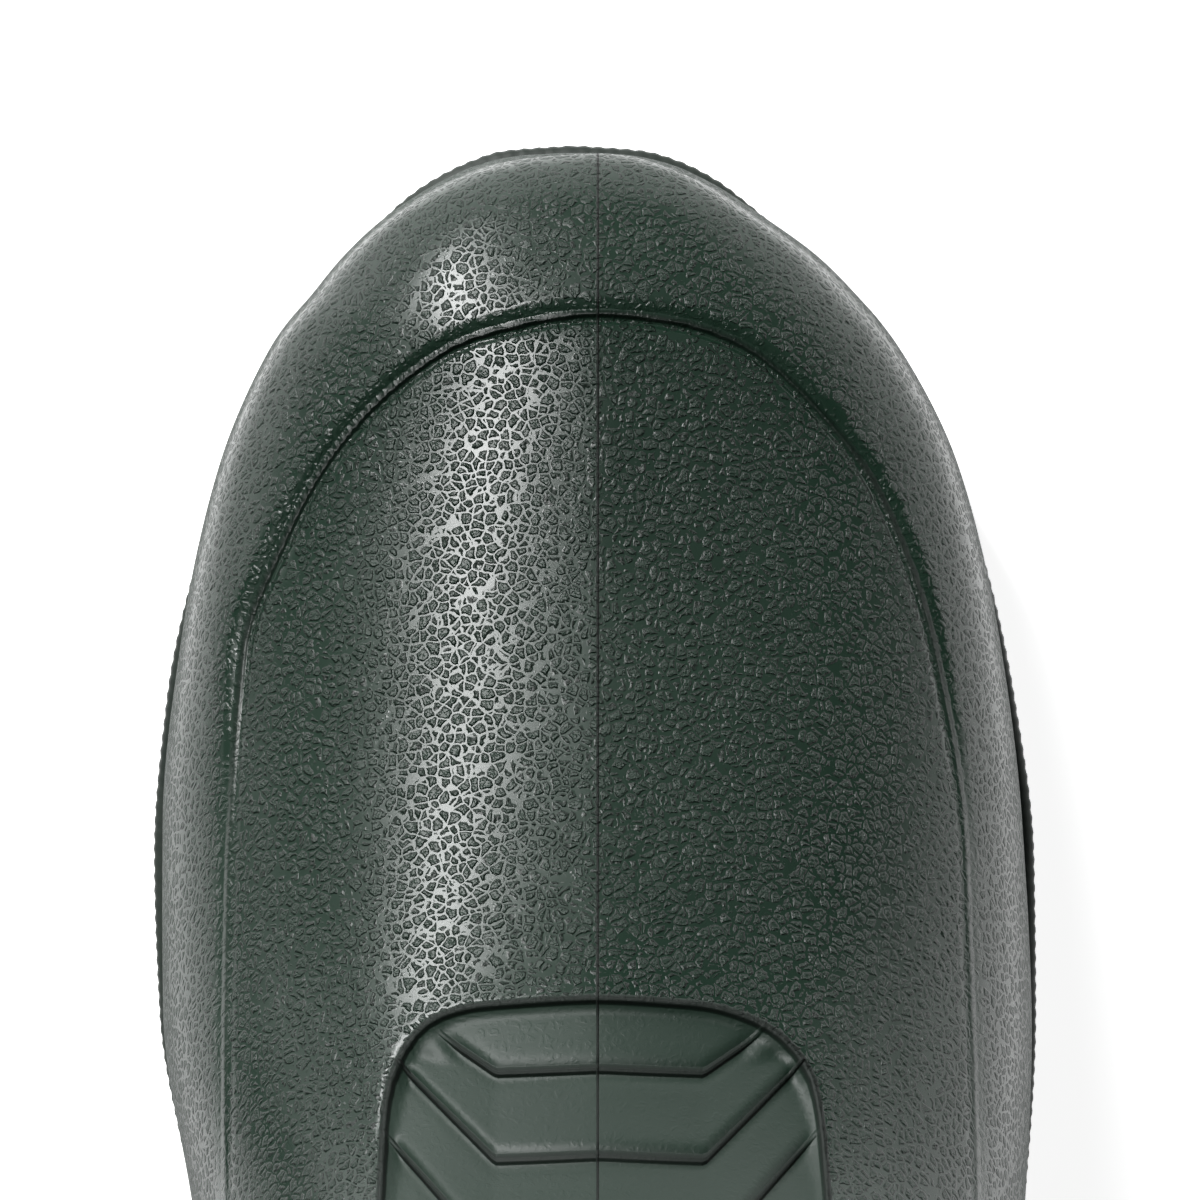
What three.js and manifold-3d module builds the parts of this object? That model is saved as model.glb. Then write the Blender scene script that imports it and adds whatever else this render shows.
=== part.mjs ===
// Bootfoot chest waders, standing as they are worn: toes towards -Y, wearer's right foot at -X.
// Millimetres, +Z up. The fabric envelope is held in its worn shape.
import * as THREE from 'three';
import { LoftGeometry } from 'three/addons/geometries/LoftGeometry.js';
import { mergeVertices } from 'three/addons/utils/BufferGeometryUtils.js';
import Module from 'manifold-3d';

const wasm = await Module();
wasm.setup();

// ---------------------------------------------------------------- driving dimensions
const CLEAR = 0.3; // gap kept between neighbouring pieces
const SLIDE_CLEAR = 0.6; // running gap of the sliding plastics

const STANCE_X = 125; // middle of the boot from the middle of the garment
const THIGH_X = 112; // middle of the leg's top
const BOOT_WALL = 4;
const BOOT_TOP_Z = 290;
const SOLE_TOP_Z = 14;
const TREAD_DEPTH = 4;
const TREAD_GROOVE = 7;
const TREAD_PITCH = 16;
const TOE_SPRING = 8;
const INSOLE_THICK = 4;

const FABRIC = 2; // laminated fabric with its seam allowance
const LEG_START_Z = 268; // the leg is welded over the boot's shaft from here
const WELD_BAND_TOP_Z = 296;
const WELD_BAND_DROP = 9;
const TAPE = 1.2;
const SEAT_Z = 822; // the legs join the body here
const GUSSET_HALF = 38;
const GUSSET_BOTTOM_Z = 770;
const WAIST_Z = 1060;
const CHEST_Z = 1180;
const BODY_Y = -90; // middle of the garment's body, front to back
const CHEST_HALF_X = 215;
const CHEST_HALF_Y = 150;
const WAIST_HALF_X = 195;
const WAIST_HALF_Y = 137;
const BIB_FRONT_Z = 1325;
const BIB_BACK_Z = 1285;
const BIB_SIDE_Z = 1240;
const BINDING_HEIGHT = 18;
const BINDING_THICK = 1.2;
const SIDE_TAPE_WIDTH = 16;

const KNEE_LOW_Z = 430;
const KNEE_HIGH_Z = 590;
const KNEE_SPREAD = 0.95; // half angle of the patch, radians

const BELT_WIDTH = 38;
const BELT_THICK = 2;
const BELT_SEAT = 3.8; // belt's inside over the fabric, room for the buckle's back wall
const LOOP_WIDTH = 14;
const LOOP_THICK = 1.6;
const LOOP_REACH = 9; // how far a loop runs past the belt's edge
const WAIST_FLAT = BELT_WIDTH / 2 + LOOP_REACH + 2; // straight part of the waist, each way

const STRAP_WIDTH = 38;
const STRAP_THICK = 2.2;
const WEB_WIDTH = 25;
const WEB_THICK = 2;
const STRAP_FOOT_X = 115; // where a front strap leaves the bib
const SHOULDER_X = 98;
const SHOULDER_Z = 1470;
const CROSS_Z = 1350; // where the elastics cross at the back
const CROSS_Y = 67;
const HUB_Z = BIB_FRONT_Z + 45; // the straps' faces look away from here
const ADJUSTER_LENGTH = 26;
const ADJUSTER_AT = 78; // from the buckle's mouth to the adjuster's middle
const CROSS_PATCH = 62;

const BUCKLE_WALL = 2.4; // plastic behind the webbing and beside it
const BUCKLE_MARGIN = 4; // how far a buckle is wider than its webbing, each side
const BUCKLE_FACE = 9; // height of a buckle over the webbing's inner face
const SOCKET_LENGTH = 34;
const PLUG_LENGTH = 34;
const PRONG_LENGTH = 22;
const PRONG_THICK = 2.8;
const PLUG_TRAVEL = 25;

const POCKET_WIDTH = 190;
const POCKET_HEIGHT = 150;
const POCKET_DEPTH = 22;
const POCKET_BOTTOM_Z = 1108;
const FLAP_DROP = 46;
const FLAP_THICK = 2.4;
const FLAP_SIDE = 6; // how far the flap is wider than the pouch, each side

// ---------------------------------------------------------------- small helpers
const group = new THREE.Group();

/** Closed solid of a three.js geometry, for cutting and joining. */
function solid(geometry) {
  const bare = new THREE.BufferGeometry();
  bare.setAttribute('position', geometry.attributes.position);
  bare.setIndex(geometry.index);
  const merged = mergeVertices(bare, 1e-4);
  return new wasm.Manifold(new wasm.Mesh({
    numProp: 3,
    vertProperties: new Float32Array(merged.attributes.position.array),
    triVerts: new Uint32Array(merged.index.array),
  }));
}

/** three.js geometry of a solid. */
function geometryOf(body) {
  const mesh = body.getMesh();
  const geometry = new THREE.BufferGeometry();
  geometry.setAttribute('position', new THREE.BufferAttribute(new Float32Array(mesh.vertProperties), 3));
  geometry.setIndex(new THREE.BufferAttribute(new Uint32Array(mesh.triVerts), 1));
  geometry.computeVertexNormals();
  return geometry;
}

/** Axis-aligned block between two corners. */
function block(low, high) {
  const geometry = new THREE.BoxGeometry(high[0] - low[0], high[1] - low[1], high[2] - low[2]);
  geometry.translate((low[0] + high[0]) / 2, (low[1] + high[1]) / 2, (low[2] + high[2]) / 2);
  return solid(geometry);
}

/** Middle of a ring's points. */
function middle(ring) {
  return ring.reduce((sum, point) => sum.add(point), new THREE.Vector3()).divideScalar(ring.length);
}

/** Solid skinned through closed rings, whichever way the rings run. */
function loft(sections) {
  const centre = middle(sections[0]);
  const ahead = middle(sections[1]).sub(centre);
  const normal = new THREE.Vector3();
  sections[0].forEach((point, place, ring) => {
    const next = ring[(place + 1) % ring.length].clone().sub(centre);
    normal.add(point.clone().sub(centre).cross(next));
  });
  const ordered = normal.dot(ahead) > 0 ? sections : sections.map((ring) => [...ring].reverse());
  return solid(new LoftGeometry(ordered, { capStart: true, capEnd: true }));
}

/** Adds a named piece to the model. */
function add(name, body, look) {
  const material = new THREE.MeshStandardMaterial(look);
  const mesh = new THREE.Mesh(geometryOf(body), material);
  mesh.name = name;
  group.add(mesh);
}

/** Signed power, for superellipse sections. */
function power(value, exponent) {
  return Math.sign(value) * Math.abs(value) ** exponent;
}

/** The pieces of a body that are larger than a crumb, joined again. */
function tidy(body) {
  const parts = body.decompose().filter((part) => part.volume() > 5);
  return parts.reduce((sum, part) => sum.add(part));
}

const GREEN_BOOT = { color: 0x2f3d36, roughness: 0.42, metalness: 0 };
const GREEN_SOLE = { color: 0x29332e, roughness: 0.55, metalness: 0 };
const GREEN_CLOTH = { color: 0x3a4a3c, roughness: 0.8, metalness: 0 };
const GREEN_PATCH = { color: 0x303d33, roughness: 0.7, metalness: 0 };
const BLACK_WEB = { color: 0x1c1f1e, roughness: 0.85, metalness: 0 };
const BLACK_PLASTIC = { color: 0x17191a, roughness: 0.4, metalness: 0 };
const GREY_FOAM = { color: 0x3b3f40, roughness: 0.9, metalness: 0 };

// ---------------------------------------------------------------- boots
// Stations from the toe, over the instep and round the heel, up the shaft. Each one is a plane
// through a lower and an upper point: [low y, low z, top y, top z, medial, lateral, split, lower n].
const BOOT_STATIONS = [
  [-306.4, 18.0, -306.6, 30, 13, 8, 0.45, 2.2],
  [-303.0, 14.6, -303.2, 39, 21, 15, 0.42, 3],
  [-296.0, 14.0, -296.5, 46, 31, 26, 0.4, 4],
  [-284.0, 14.0, -285.0, 53, 40, 36, 0.38, 6],
  [-266.0, 14.0, -267.0, 60, 48.6, 46.4, 0.36, 7],
  [-243.0, 14.0, -245.0, 69, 55, 53.4, 0.34, 8],
  [-218.0, 14.0, -221.0, 81, 57.6, 56.8, 0.32, 8],
  [-193.0, 14.0, -198.0, 95, 57, 57.4, 0.32, 8],
  [-168.0, 14.0, -180.0, 112, 53.5, 56, 0.32, 8],
  [-138.0, 14.0, -171.0, 129, 48, 52, 0.34, 7],
  [-105.0, 14.0, -167.0, 144, 44, 48, 0.36, 6],
  [-70.0, 14.0, -165.5, 157, 42, 44, 0.4, 5],
  [-36.0, 15.0, -165.0, 169, 41, 42, 0.45, 4],
  [-12.0, 24.0, -165.0, 181, 42, 42, 0.5, 3],
  [-3.0, 46.0, -165.0, 194, 45, 45, 0.5, 2.6],
  [-3.0, 80.0, -165.5, 208, 50, 50, 0.5, 2.4],
  [-9.0, 125.0, -166.0, 226, 58, 58, 0.5, 2.2],
  [-11.0, 180.0, -166.0, 246, 65, 65, 0.5, 2.2],
  [-9.0, 240.0, -166.0, 268, 69, 69, 0.5, 2.2],
  [-8.0, BOOT_TOP_Z, -166.0, BOOT_TOP_Z, 70, 70, 0.5, 2.2],
];
const BOOT_RING = 20;
const TOE_SPRING_START_Y = -200;
const SHAFT_Y = -87; // middle of the boot's shaft, front to back

/** How far the toe end is lifted at a place along the foot. */
function toeLift(y) {
  const share = Math.max(0, (TOE_SPRING_START_Y - y) / 108);
  return TOE_SPRING * share * share;
}

/** One ring of the boot, shrunk by a wall thickness. */
function bootRing(station, inset) {
  const [lowY, lowZ, topY, topZ, medial, lateral, split, squareness] = station;
  const low = new THREE.Vector2(lowY, lowZ);
  const top = new THREE.Vector2(topY, topZ);
  const span = top.clone().sub(low);
  const height = span.length();
  span.normalize();
  const ring = [];
  for (let step = 0; step < BOOT_RING; step += 1) {
    const angle = (step / BOOT_RING) * Math.PI * 2;
    const lower = Math.sin(angle) < 0;
    const exponent = 2 / (lower ? squareness : 2.3);
    const across = power(Math.cos(angle), exponent);
    const up = power(Math.sin(angle), exponent);
    const halfWidth = (across > 0 ? medial : lateral) - inset;
    const reach = lower ? height * split - inset : height * (1 - split) - inset;
    const place = low.clone().addScaledVector(span, height * split + up * reach);
    ring.push(new THREE.Vector3(across * halfWidth, place.x, place.y + toeLift(place.x)));
  }
  return ring;
}

/** The hollow of the boot, or a smaller solid of its shape. */
function bootHollow(inset) {
  const inside = BOOT_STATIONS.slice(1).map((station) => bootRing(station, inset));
  const nose = [...BOOT_STATIONS[1]];
  nose[4] -= 7;
  nose[5] -= 5;
  inside[0] = bootRing(nose, inset).map((point) => point.setY(point.y + inset * 0.6));
  const mouth = inside[inside.length - 1].map((point) => point.clone().setZ(BOOT_TOP_Z + 10));
  return loft([...inside, mouth]);
}

/** The moulded upper: a shell open at the top of its shaft. */
function bootUpper() {
  return loft(BOOT_STATIONS.map((station) => bootRing(station, 0))).subtract(bootHollow(BOOT_WALL));
}

/** Outline stations of the sole: [y, medial, lateral]. */
const SOLE_OUTLINE = [
  [-308, 7, 3],
  [-306.4, 16.4, 10.4],
  [-303, 24, 17.6],
  [-296, 33, 28],
  [-284, 41.4, 37.6],
  [-266, 50, 47.8],
  [-243, 56.4, 54.6],
  [-218, 59, 57.9],
  [-193, 58.4, 58.6],
  [-168, 54.6, 57.2],
  [-138, 48.5, 52],
  [-105, 43, 46.5],
  [-70, 41.5, 43],
  [-36, 39.5, 40],
  [-20, 35, 35],
  [-9, 26, 26],
  [-3, 16, 16],
  [-1, 7, 7],
];

/** A slab under the foot between two heights. */
function footSlab(stations, lowZ, highZ) {
  return loft(stations.map(([y, medial, lateral]) => [
    new THREE.Vector3(-lateral, y, lowZ + toeLift(y)),
    new THREE.Vector3(medial, y, lowZ + toeLift(y)),
    new THREE.Vector3(medial, y, highZ + toeLift(y)),
    new THREE.Vector3(-lateral, y, highZ + toeLift(y)),
  ]));
}

/** The sole with its tread grooves and the notch in front of the heel. */
function outsole() {
  let body = footSlab(SOLE_OUTLINE, 0, SOLE_TOP_Z - CLEAR);
  const grooves = [];
  for (let y = -292; y < -150; y += TREAD_PITCH) {
    grooves.push([y, y + TREAD_GROOVE]);
  }
  grooves.push([-132, -92]);
  for (let y = -76; y < -20; y += TREAD_PITCH) {
    grooves.push([y, y + TREAD_GROOVE]);
  }
  grooves.forEach(([near, far]) => {
    body = body.subtract(block([-80, near, -5], [80, far, TREAD_DEPTH + toeLift(near)]));
  });
  return body;
}

/** The loose foam insole on the boot's floor. */
function insole() {
  const low = SOLE_TOP_Z + BOOT_WALL;
  const stations = SOLE_OUTLINE.filter(([y]) => y > -292 && y < -22);
  return footSlab(stations, low, low + INSOLE_THICK).intersect(bootHollow(BOOT_WALL + CLEAR));
}

// ---------------------------------------------------------------- fabric envelope
const CLOTH_RING = 28;

/** Horizontal superellipse ring. */
function clothRing(centreX, centreY, halfX, halfY, heightAt, squareness = 2.2) {
  const ring = [];
  for (let step = 0; step < CLOTH_RING; step += 1) {
    const angle = (step / CLOTH_RING) * Math.PI * 2;
    const x = centreX + halfX * power(Math.cos(angle), 2 / squareness);
    const y = centreY + halfY * power(Math.sin(angle), 2 / squareness);
    ring.push(new THREE.Vector3(x, y, heightAt(angle)));
  }
  return ring;
}

/** Leg stations from the boot up: [z, middle x, middle y, half width, half depth]. */
const SHAFT_HALF_X = 70;
const SHAFT_HALF_Y = 79;
const LEG_STATIONS = [
  [LEG_START_Z, STANCE_X, SHAFT_Y, SHAFT_HALF_X, SHAFT_HALF_Y],
  [BOOT_TOP_Z + 4, STANCE_X, SHAFT_Y, SHAFT_HALF_X + 1, SHAFT_HALF_Y + 1],
  [330, STANCE_X, SHAFT_Y, 79, 87],
  [400, 123, -89, 86, 93],
  [500, 120, -91, 94, 96],
  [650, 115, -90, 104, 108],
  [780, THIGH_X, BODY_Y, 107, 124],
  [850, THIGH_X - 8, BODY_Y, 96, 118],
];
const LEG_SEAT = CLEAR + FABRIC + 0.6; // fabric's outside over the boot shaft's outside

/** One leg as a solid, grown by a margin. */
function legSolid(side, grow, dropEnds = 0) {
  const rings = LEG_STATIONS.map(([z, x, y, halfX, halfY], place) => {
    const drop = place === 0 ? dropEnds : 0;
    return clothRing(side * x, y, halfX + LEG_SEAT + grow, halfY + LEG_SEAT + grow, () => z - drop);
  });
  return loft(rings);
}

/** Height of the garment's top edge round the body. */
function topEdge(angle) {
  const front = Math.max(0, -Math.sin(angle));
  const back = Math.max(0, Math.sin(angle));
  const frontRise = Math.min(1, (front / 0.86) ** 3);
  const backRise = Math.min(1, (back / 0.9) ** 3);
  return BIB_SIDE_Z + (BIB_FRONT_Z - BIB_SIDE_Z) * frontRise + (BIB_BACK_Z - BIB_SIDE_Z) * backRise;
}

/** The body above the legs as a solid, grown by a margin. */
function bodySolid(grow) {
  const flat = (z) => () => z;
  return loft([
    clothRing(0, BODY_Y, 70 + grow, 92 + grow, flat(788 - grow)),
    clothRing(0, BODY_Y, 150 + grow, 116 + grow, flat(800 - grow)),
    clothRing(0, BODY_Y, 218 + grow, 135 + grow, flat(818)),
    clothRing(0, BODY_Y, 225 + grow, 146 + grow, flat(850)),
    clothRing(0, BODY_Y, 224 + grow, 151 + grow, flat(910)),
    clothRing(0, BODY_Y, 208 + grow, 144 + grow, flat(985)),
    clothRing(0, BODY_Y, WAIST_HALF_X + grow, WAIST_HALF_Y + grow, flat(WAIST_Z - WAIST_FLAT)),
    clothRing(0, BODY_Y, WAIST_HALF_X + grow, WAIST_HALF_Y + grow, flat(WAIST_Z + WAIST_FLAT)),
    clothRing(0, BODY_Y, 206 + grow, 145 + grow, flat(CHEST_Z)),
    clothRing(0, BODY_Y, CHEST_HALF_X + grow, CHEST_HALF_Y + grow, flat(CHEST_Z + 60)),
    clothRing(0, BODY_Y, CHEST_HALF_X + grow, CHEST_HALF_Y + grow, flat(BIB_FRONT_Z + 60)),
  ]);
}

/** Everything above the garment's top edge, raised by a lift, as one ring-shaped solid. */
function crown(lift) {
  const sections = [];
  for (let step = 0; step <= CLOTH_RING; step += 1) {
    const angle = ((step % CLOTH_RING) / CLOTH_RING) * Math.PI * 2;
    const z = topEdge(angle) + lift;
    const x = CHEST_HALF_X * power(Math.cos(angle), 2 / 2.2);
    const y = CHEST_HALF_Y * power(Math.sin(angle), 2 / 2.2);
    const at = (scale, height) => new THREE.Vector3(x * scale, BODY_Y + y * scale, height);
    sections.push([at(0.4, z), at(0.4, 1500), at(1.3, 1500), at(1.3, z)]);
  }
  const body = solid(new LoftGeometry(sections));
  return body.volume() > 0 ? body : solid(new LoftGeometry(sections.map((ring) => [...ring].reverse())));
}

const topCut = crown(0);
const envelope = bodySolid(0).add(legSolid(-1, 0)).add(legSolid(1, 0));
const hollow = bodySolid(-FABRIC).translate([0, 0, 1])
  .add(legSolid(-1, -FABRIC, 8))
  .add(legSolid(1, -FABRIC, 8));
const cloth = envelope.subtract(hollow).subtract(topCut);
const keepClear = bodySolid(CLEAR).add(legSolid(-1, CLEAR)).add(legSolid(1, CLEAR));
const FAR = 700;
const gussetBox = block([-GUSSET_HALF, -FAR, GUSSET_BOTTOM_Z], [GUSSET_HALF, FAR, SEAT_Z]);
const gussetRoom = block(
  [-GUSSET_HALF - CLEAR, -FAR, GUSSET_BOTTOM_Z - CLEAR],
  [GUSSET_HALF + CLEAR, FAR, SEAT_Z + CLEAR],
);

/** One fabric leg with the knee left plain under its patch. */
function legCloth(side) {
  const low = side < 0 ? [-FAR, -FAR, 0] : [CLEAR / 2, -FAR, 0];
  const high = side < 0 ? [-CLEAR / 2, FAR, SEAT_Z] : [FAR, FAR, SEAT_Z];
  return tidy(cloth.intersect(block(low, high)).subtract(gussetRoom));
}

add('crotch_gusset', tidy(cloth.intersect(gussetBox)), GREEN_PATCH);
add('front_bib_panel', tidy(cloth.intersect(
  block([-FAR, -FAR, SEAT_Z + CLEAR], [FAR, BODY_Y - CLEAR / 2, 2000]),
).subtract(gussetRoom)), GREEN_CLOTH);
add('back_panel', tidy(cloth.intersect(
  block([-FAR, BODY_Y + CLEAR / 2, SEAT_Z + CLEAR], [FAR, FAR, 2000]),
).subtract(gussetRoom)), GREEN_CLOTH);

const bindingWrap = bodySolid(CLEAR + BINDING_THICK)
  .subtract(bodySolid(-FABRIC - CLEAR - BINDING_THICK).translate([0, 0, 5]))
  .intersect(crown(-BINDING_HEIGHT))
  .subtract(crown(CLEAR + BINDING_THICK));
const bindingRoom = bodySolid(CLEAR)
  .subtract(bodySolid(-FABRIC - CLEAR).translate([0, 0, 2]))
  .subtract(crown(CLEAR));
add('chest_edge_binding', tidy(bindingWrap.subtract(bindingRoom)), BLACK_WEB);

const SIDES = [['right', -1], ['left', 1]];

SIDES.forEach(([name, side]) => {
  const tapeBox = block(
    [side < 0 ? -FAR : 0, BODY_Y - SIDE_TAPE_WIDTH / 2, SEAT_Z + 20],
    [side < 0 ? 0 : FAR, BODY_Y + SIDE_TAPE_WIDTH / 2, WAIST_Z - BELT_WIDTH / 2 - 2],
  );
  const tape = bodySolid(CLEAR + TAPE).subtract(bodySolid(CLEAR)).subtract(crown(-BINDING_HEIGHT - 1));
  add(`${name}_hip_seam_tape`, tidy(tape.intersect(tapeBox).subtract(keepClear)), GREEN_PATCH);
  const chestBox = block(
    [side < 0 ? -FAR : 0, BODY_Y - SIDE_TAPE_WIDTH / 2, WAIST_Z + BELT_WIDTH / 2 + 2],
    [side < 0 ? 0 : FAR, BODY_Y + SIDE_TAPE_WIDTH / 2, 2000],
  );
  add(`${name}_chest_seam_tape`, tidy(tape.intersect(chestBox)), GREEN_PATCH);
});

/** A pad over the front of the knee, following the leg. */
function kneePatch(side) {
  const rings = [KNEE_LOW_Z, 500, KNEE_HIGH_Z];
  const skin = legSolid(side, CLEAR + TAPE).subtract(legSolid(side, CLEAR));
  const reach = 90 * Math.sin(KNEE_SPREAD);
  const low = [side * 120 - reach, -FAR, rings[0]];
  const high = [side * 120 + reach, -100, rings[2]];
  return tidy(skin.intersect(block(low, high)));
}

SIDES.forEach(([name, side]) => {
  const mirrored = (body) => body.mirror([1, 0, 0]);
  const place = (body) => (side < 0 ? body : mirrored(body)).translate([side * STANCE_X, 0, 0]);
  add(`${name}_boot_upper`, place(bootUpper()), GREEN_BOOT);
  add(`${name}_outsole`, place(outsole()), GREEN_SOLE);
  add(`${name}_insole`, place(insole()), GREY_FOAM);
  add(`${name}_leg_fabric`, legCloth(side), GREEN_CLOTH);
  add(`${name}_knee_patch`, kneePatch(side), GREEN_PATCH);
  const bandBox = block([side < 0 ? -FAR : 0, -FAR, LEG_START_Z - WELD_BAND_DROP],
    [side < 0 ? 0 : FAR, FAR, WELD_BAND_TOP_Z]);
  const band = legSolid(side, CLEAR + TAPE, 20).subtract(legSolid(side, CLEAR, 25));
  add(`${name}_weld_band`, tidy(band.intersect(bandBox)), GREEN_PATCH);
});

// ---------------------------------------------------------------- webbing and buckles
/** Flat strip: path along its inner face, with the outward direction at each point. */
function ribbon(path, outward, width, thick, margin = 0) {
  const sections = path.map((point, place) => {
    const before = path[Math.max(0, place - 1)];
    const after = path[Math.min(path.length - 1, place + 1)];
    const along = after.clone().sub(before).normalize();
    const out = outward[place].clone().addScaledVector(along, -outward[place].dot(along)).normalize();
    const side = along.clone().cross(out).multiplyScalar(width / 2 + margin);
    const near = point.clone().addScaledVector(out, -margin);
    const far = point.clone().addScaledVector(out, thick + margin);
    return [near.clone().sub(side), near.clone().add(side), far.clone().add(side), far.clone().sub(side)];
  });
  return loft(sections);
}

/** Two halves of a side-release buckle along +X, webbing's inner face at z 0, centred in y. */
function buckle(width, thick) {
  const half = width / 2;
  const wide = half + BUCKLE_MARGIN;
  const back = -SLIDE_CLEAR - BUCKLE_WALL;
  const channel = [-SLIDE_CLEAR, thick + SLIDE_CLEAR];
  const prongLow = thick + SLIDE_CLEAR + 1.4;
  const prongHigh = prongLow + PRONG_THICK;
  const gap = SLIDE_CLEAR / 2;
  const prongRoom = [prongLow - SLIDE_CLEAR, prongHigh + SLIDE_CLEAR];
  const socket = block([gap, -wide, back], [SOCKET_LENGTH, wide, BUCKLE_FACE])
    .subtract(block([-5, -half - SLIDE_CLEAR, prongRoom[0]],
      [PRONG_LENGTH + 1, half + SLIDE_CLEAR, prongRoom[1]]))
    .subtract(block([PRONG_LENGTH - 4, -half - SLIDE_CLEAR, channel[0]],
      [SOCKET_LENGTH + 5, half + SLIDE_CLEAR, channel[1]]))
    .subtract(block([7, half - 1, prongRoom[0]], [PRONG_LENGTH - 2, wide + 1, prongRoom[1]]))
    .subtract(block([7, -wide - 1, prongRoom[0]], [PRONG_LENGTH - 2, -half + 1, prongRoom[1]]));
  const body = block([-PLUG_LENGTH, -wide, back], [-gap, wide, BUCKLE_FACE])
    .subtract(block([-PLUG_LENGTH - 5, -half - SLIDE_CLEAR, channel[0]],
      [5, half + SLIDE_CLEAR, channel[1]]))
    .subtract(block([-PLUG_LENGTH + 6, -half, channel[1] - 1],
      [-12, half, BUCKLE_FACE + 5]));
  const prong = (low, high) => block([-gap - 2, low, prongLow], [PRONG_LENGTH, high, prongHigh]);
  const plug = body
    .add(prong(-half, -half + 5))
    .add(prong(half - 5, half))
    .add(prong(-2.5, 2.5));
  return { socket, plug };
}

/** Tri-glide slider along X round its webbing. */
function glide(width, thick) {
  const half = width / 2;
  const wide = half + BUCKLE_MARGIN;
  return block([-ADJUSTER_LENGTH / 2, -wide, -SLIDE_CLEAR - BUCKLE_WALL],
    [ADJUSTER_LENGTH / 2, wide, thick + SLIDE_CLEAR + BUCKLE_WALL])
    .subtract(block([-ADJUSTER_LENGTH, -half - SLIDE_CLEAR, -SLIDE_CLEAR],
      [ADJUSTER_LENGTH, half + SLIDE_CLEAR, thick + SLIDE_CLEAR]))
    .subtract(block([-ADJUSTER_LENGTH / 2 + 4, -half, thick], [-2, half, thick + 10]))
    .subtract(block([2, -half, thick], [ADJUSTER_LENGTH / 2 - 4, half, thick + 10]));
}

/** Puts a body built along X at a place: its X, Y and Z turned to three directions. */
function seatAt(body, along, out, origin) {
  const side = out.clone().cross(along);
  const matrix = new THREE.Matrix4().makeBasis(along, side, out).setPosition(origin);
  return body.transform(matrix.elements);
}

// ---------------------------------------------------------------- belt
const beltLow = WAIST_Z - BELT_WIDTH / 2;
const beltHigh = WAIST_Z + BELT_WIDTH / 2;
const beltY = BODY_Y - WAIST_HALF_Y - BELT_SEAT;

/** The belt: straight across the buckle in front, then round the waist. */
function beltWebbing() {
  const ring = clothRing(0, BODY_Y, WAIST_HALF_X + BELT_SEAT, WAIST_HALF_Y + BELT_SEAT, () => WAIST_Z);
  const quarter = (CLOTH_RING * 3) / 4;
  const path = [new THREE.Vector3(SOCKET_LENGTH - 10, beltY, WAIST_Z)];
  path.push(new THREE.Vector3(SOCKET_LENGTH + 14, beltY, WAIST_Z));
  for (let step = 2; step <= CLOTH_RING - 2; step += 1) {
    path.push(ring[(quarter + step) % CLOTH_RING]);
  }
  path.push(new THREE.Vector3(-PLUG_LENGTH - PLUG_TRAVEL - 3, beltY, WAIST_Z));
  path.push(new THREE.Vector3(-PLUG_TRAVEL - 1, beltY, WAIST_Z));
  const outward = path.map((point, place) => {
    const flat = place < 2 || place > path.length - 3;
    return flat ? new THREE.Vector3(0, -1, 0) : point.clone().sub(new THREE.Vector3(0, BODY_Y, WAIST_Z));
  });
  return ribbon(path, outward, BELT_WIDTH, BELT_THICK).subtract(keepClear);
}

const belt = beltWebbing();
add('waist_belt_webbing', tidy(belt), BLACK_WEB);
const beltBuckle = buckle(BELT_WIDTH, BELT_THICK);
const beltAlong = new THREE.Vector3(1, 0, 0);
const beltOut = new THREE.Vector3(0, -1, 0);
const beltMiddle = new THREE.Vector3(0, beltY, WAIST_Z);
add('belt_buckle_socket', seatAt(beltBuckle.socket, beltAlong, beltOut, beltMiddle), BLACK_PLASTIC);
add('belt_buckle_plug', seatAt(beltBuckle.plug, beltAlong, beltOut, beltMiddle), BLACK_PLASTIC);

/** One fabric loop standing over the belt. */
function beltLoop(x, back) {
  const reach = BELT_SEAT + BELT_THICK + CLEAR + 0.2;
  const near = [x - LOOP_WIDTH / 2, back ? BODY_Y : -FAR, beltLow - LOOP_REACH];
  const far = [x + LOOP_WIDTH / 2, back ? FAR : BODY_Y, beltHigh + LOOP_REACH];
  const slot = block([-FAR, -FAR, beltLow - CLEAR], [FAR, FAR, beltHigh + CLEAR]);
  const inner = slot.intersect(bodySolid(reach));
  return bodySolid(reach + LOOP_THICK).subtract(keepClear).subtract(inner).intersect(block(near, far));
}

[['right_front_belt_loop', -128, false], ['left_front_belt_loop', 128, false],
  ['right_back_belt_loop', -100, true], ['left_back_belt_loop', 100, true]].forEach(([name, x, back]) => {
  add(name, tidy(beltLoop(x, back)), GREEN_PATCH);
});

// ---------------------------------------------------------------- chest pocket
const pocketHigh = POCKET_BOTTOM_Z + POCKET_HEIGHT;
const pocketHalf = POCKET_WIDTH / 2;
const pouchSkin = bodySolid(POCKET_DEPTH)
  .subtract(keepClear)
  .intersect(block([-pocketHalf, -FAR, POCKET_BOTTOM_Z], [pocketHalf, BODY_Y, pocketHigh]));
const pouchRoom = bodySolid(POCKET_DEPTH - FABRIC)
  .subtract(bodySolid(CLEAR + FABRIC))
  .intersect(block([-pocketHalf + FABRIC, -FAR, POCKET_BOTTOM_Z + FABRIC],
    [pocketHalf - FABRIC, BODY_Y, pocketHigh + 5]));
add('chest_pocket_pouch', tidy(pouchSkin.subtract(pouchRoom)), GREEN_CLOTH);

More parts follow.
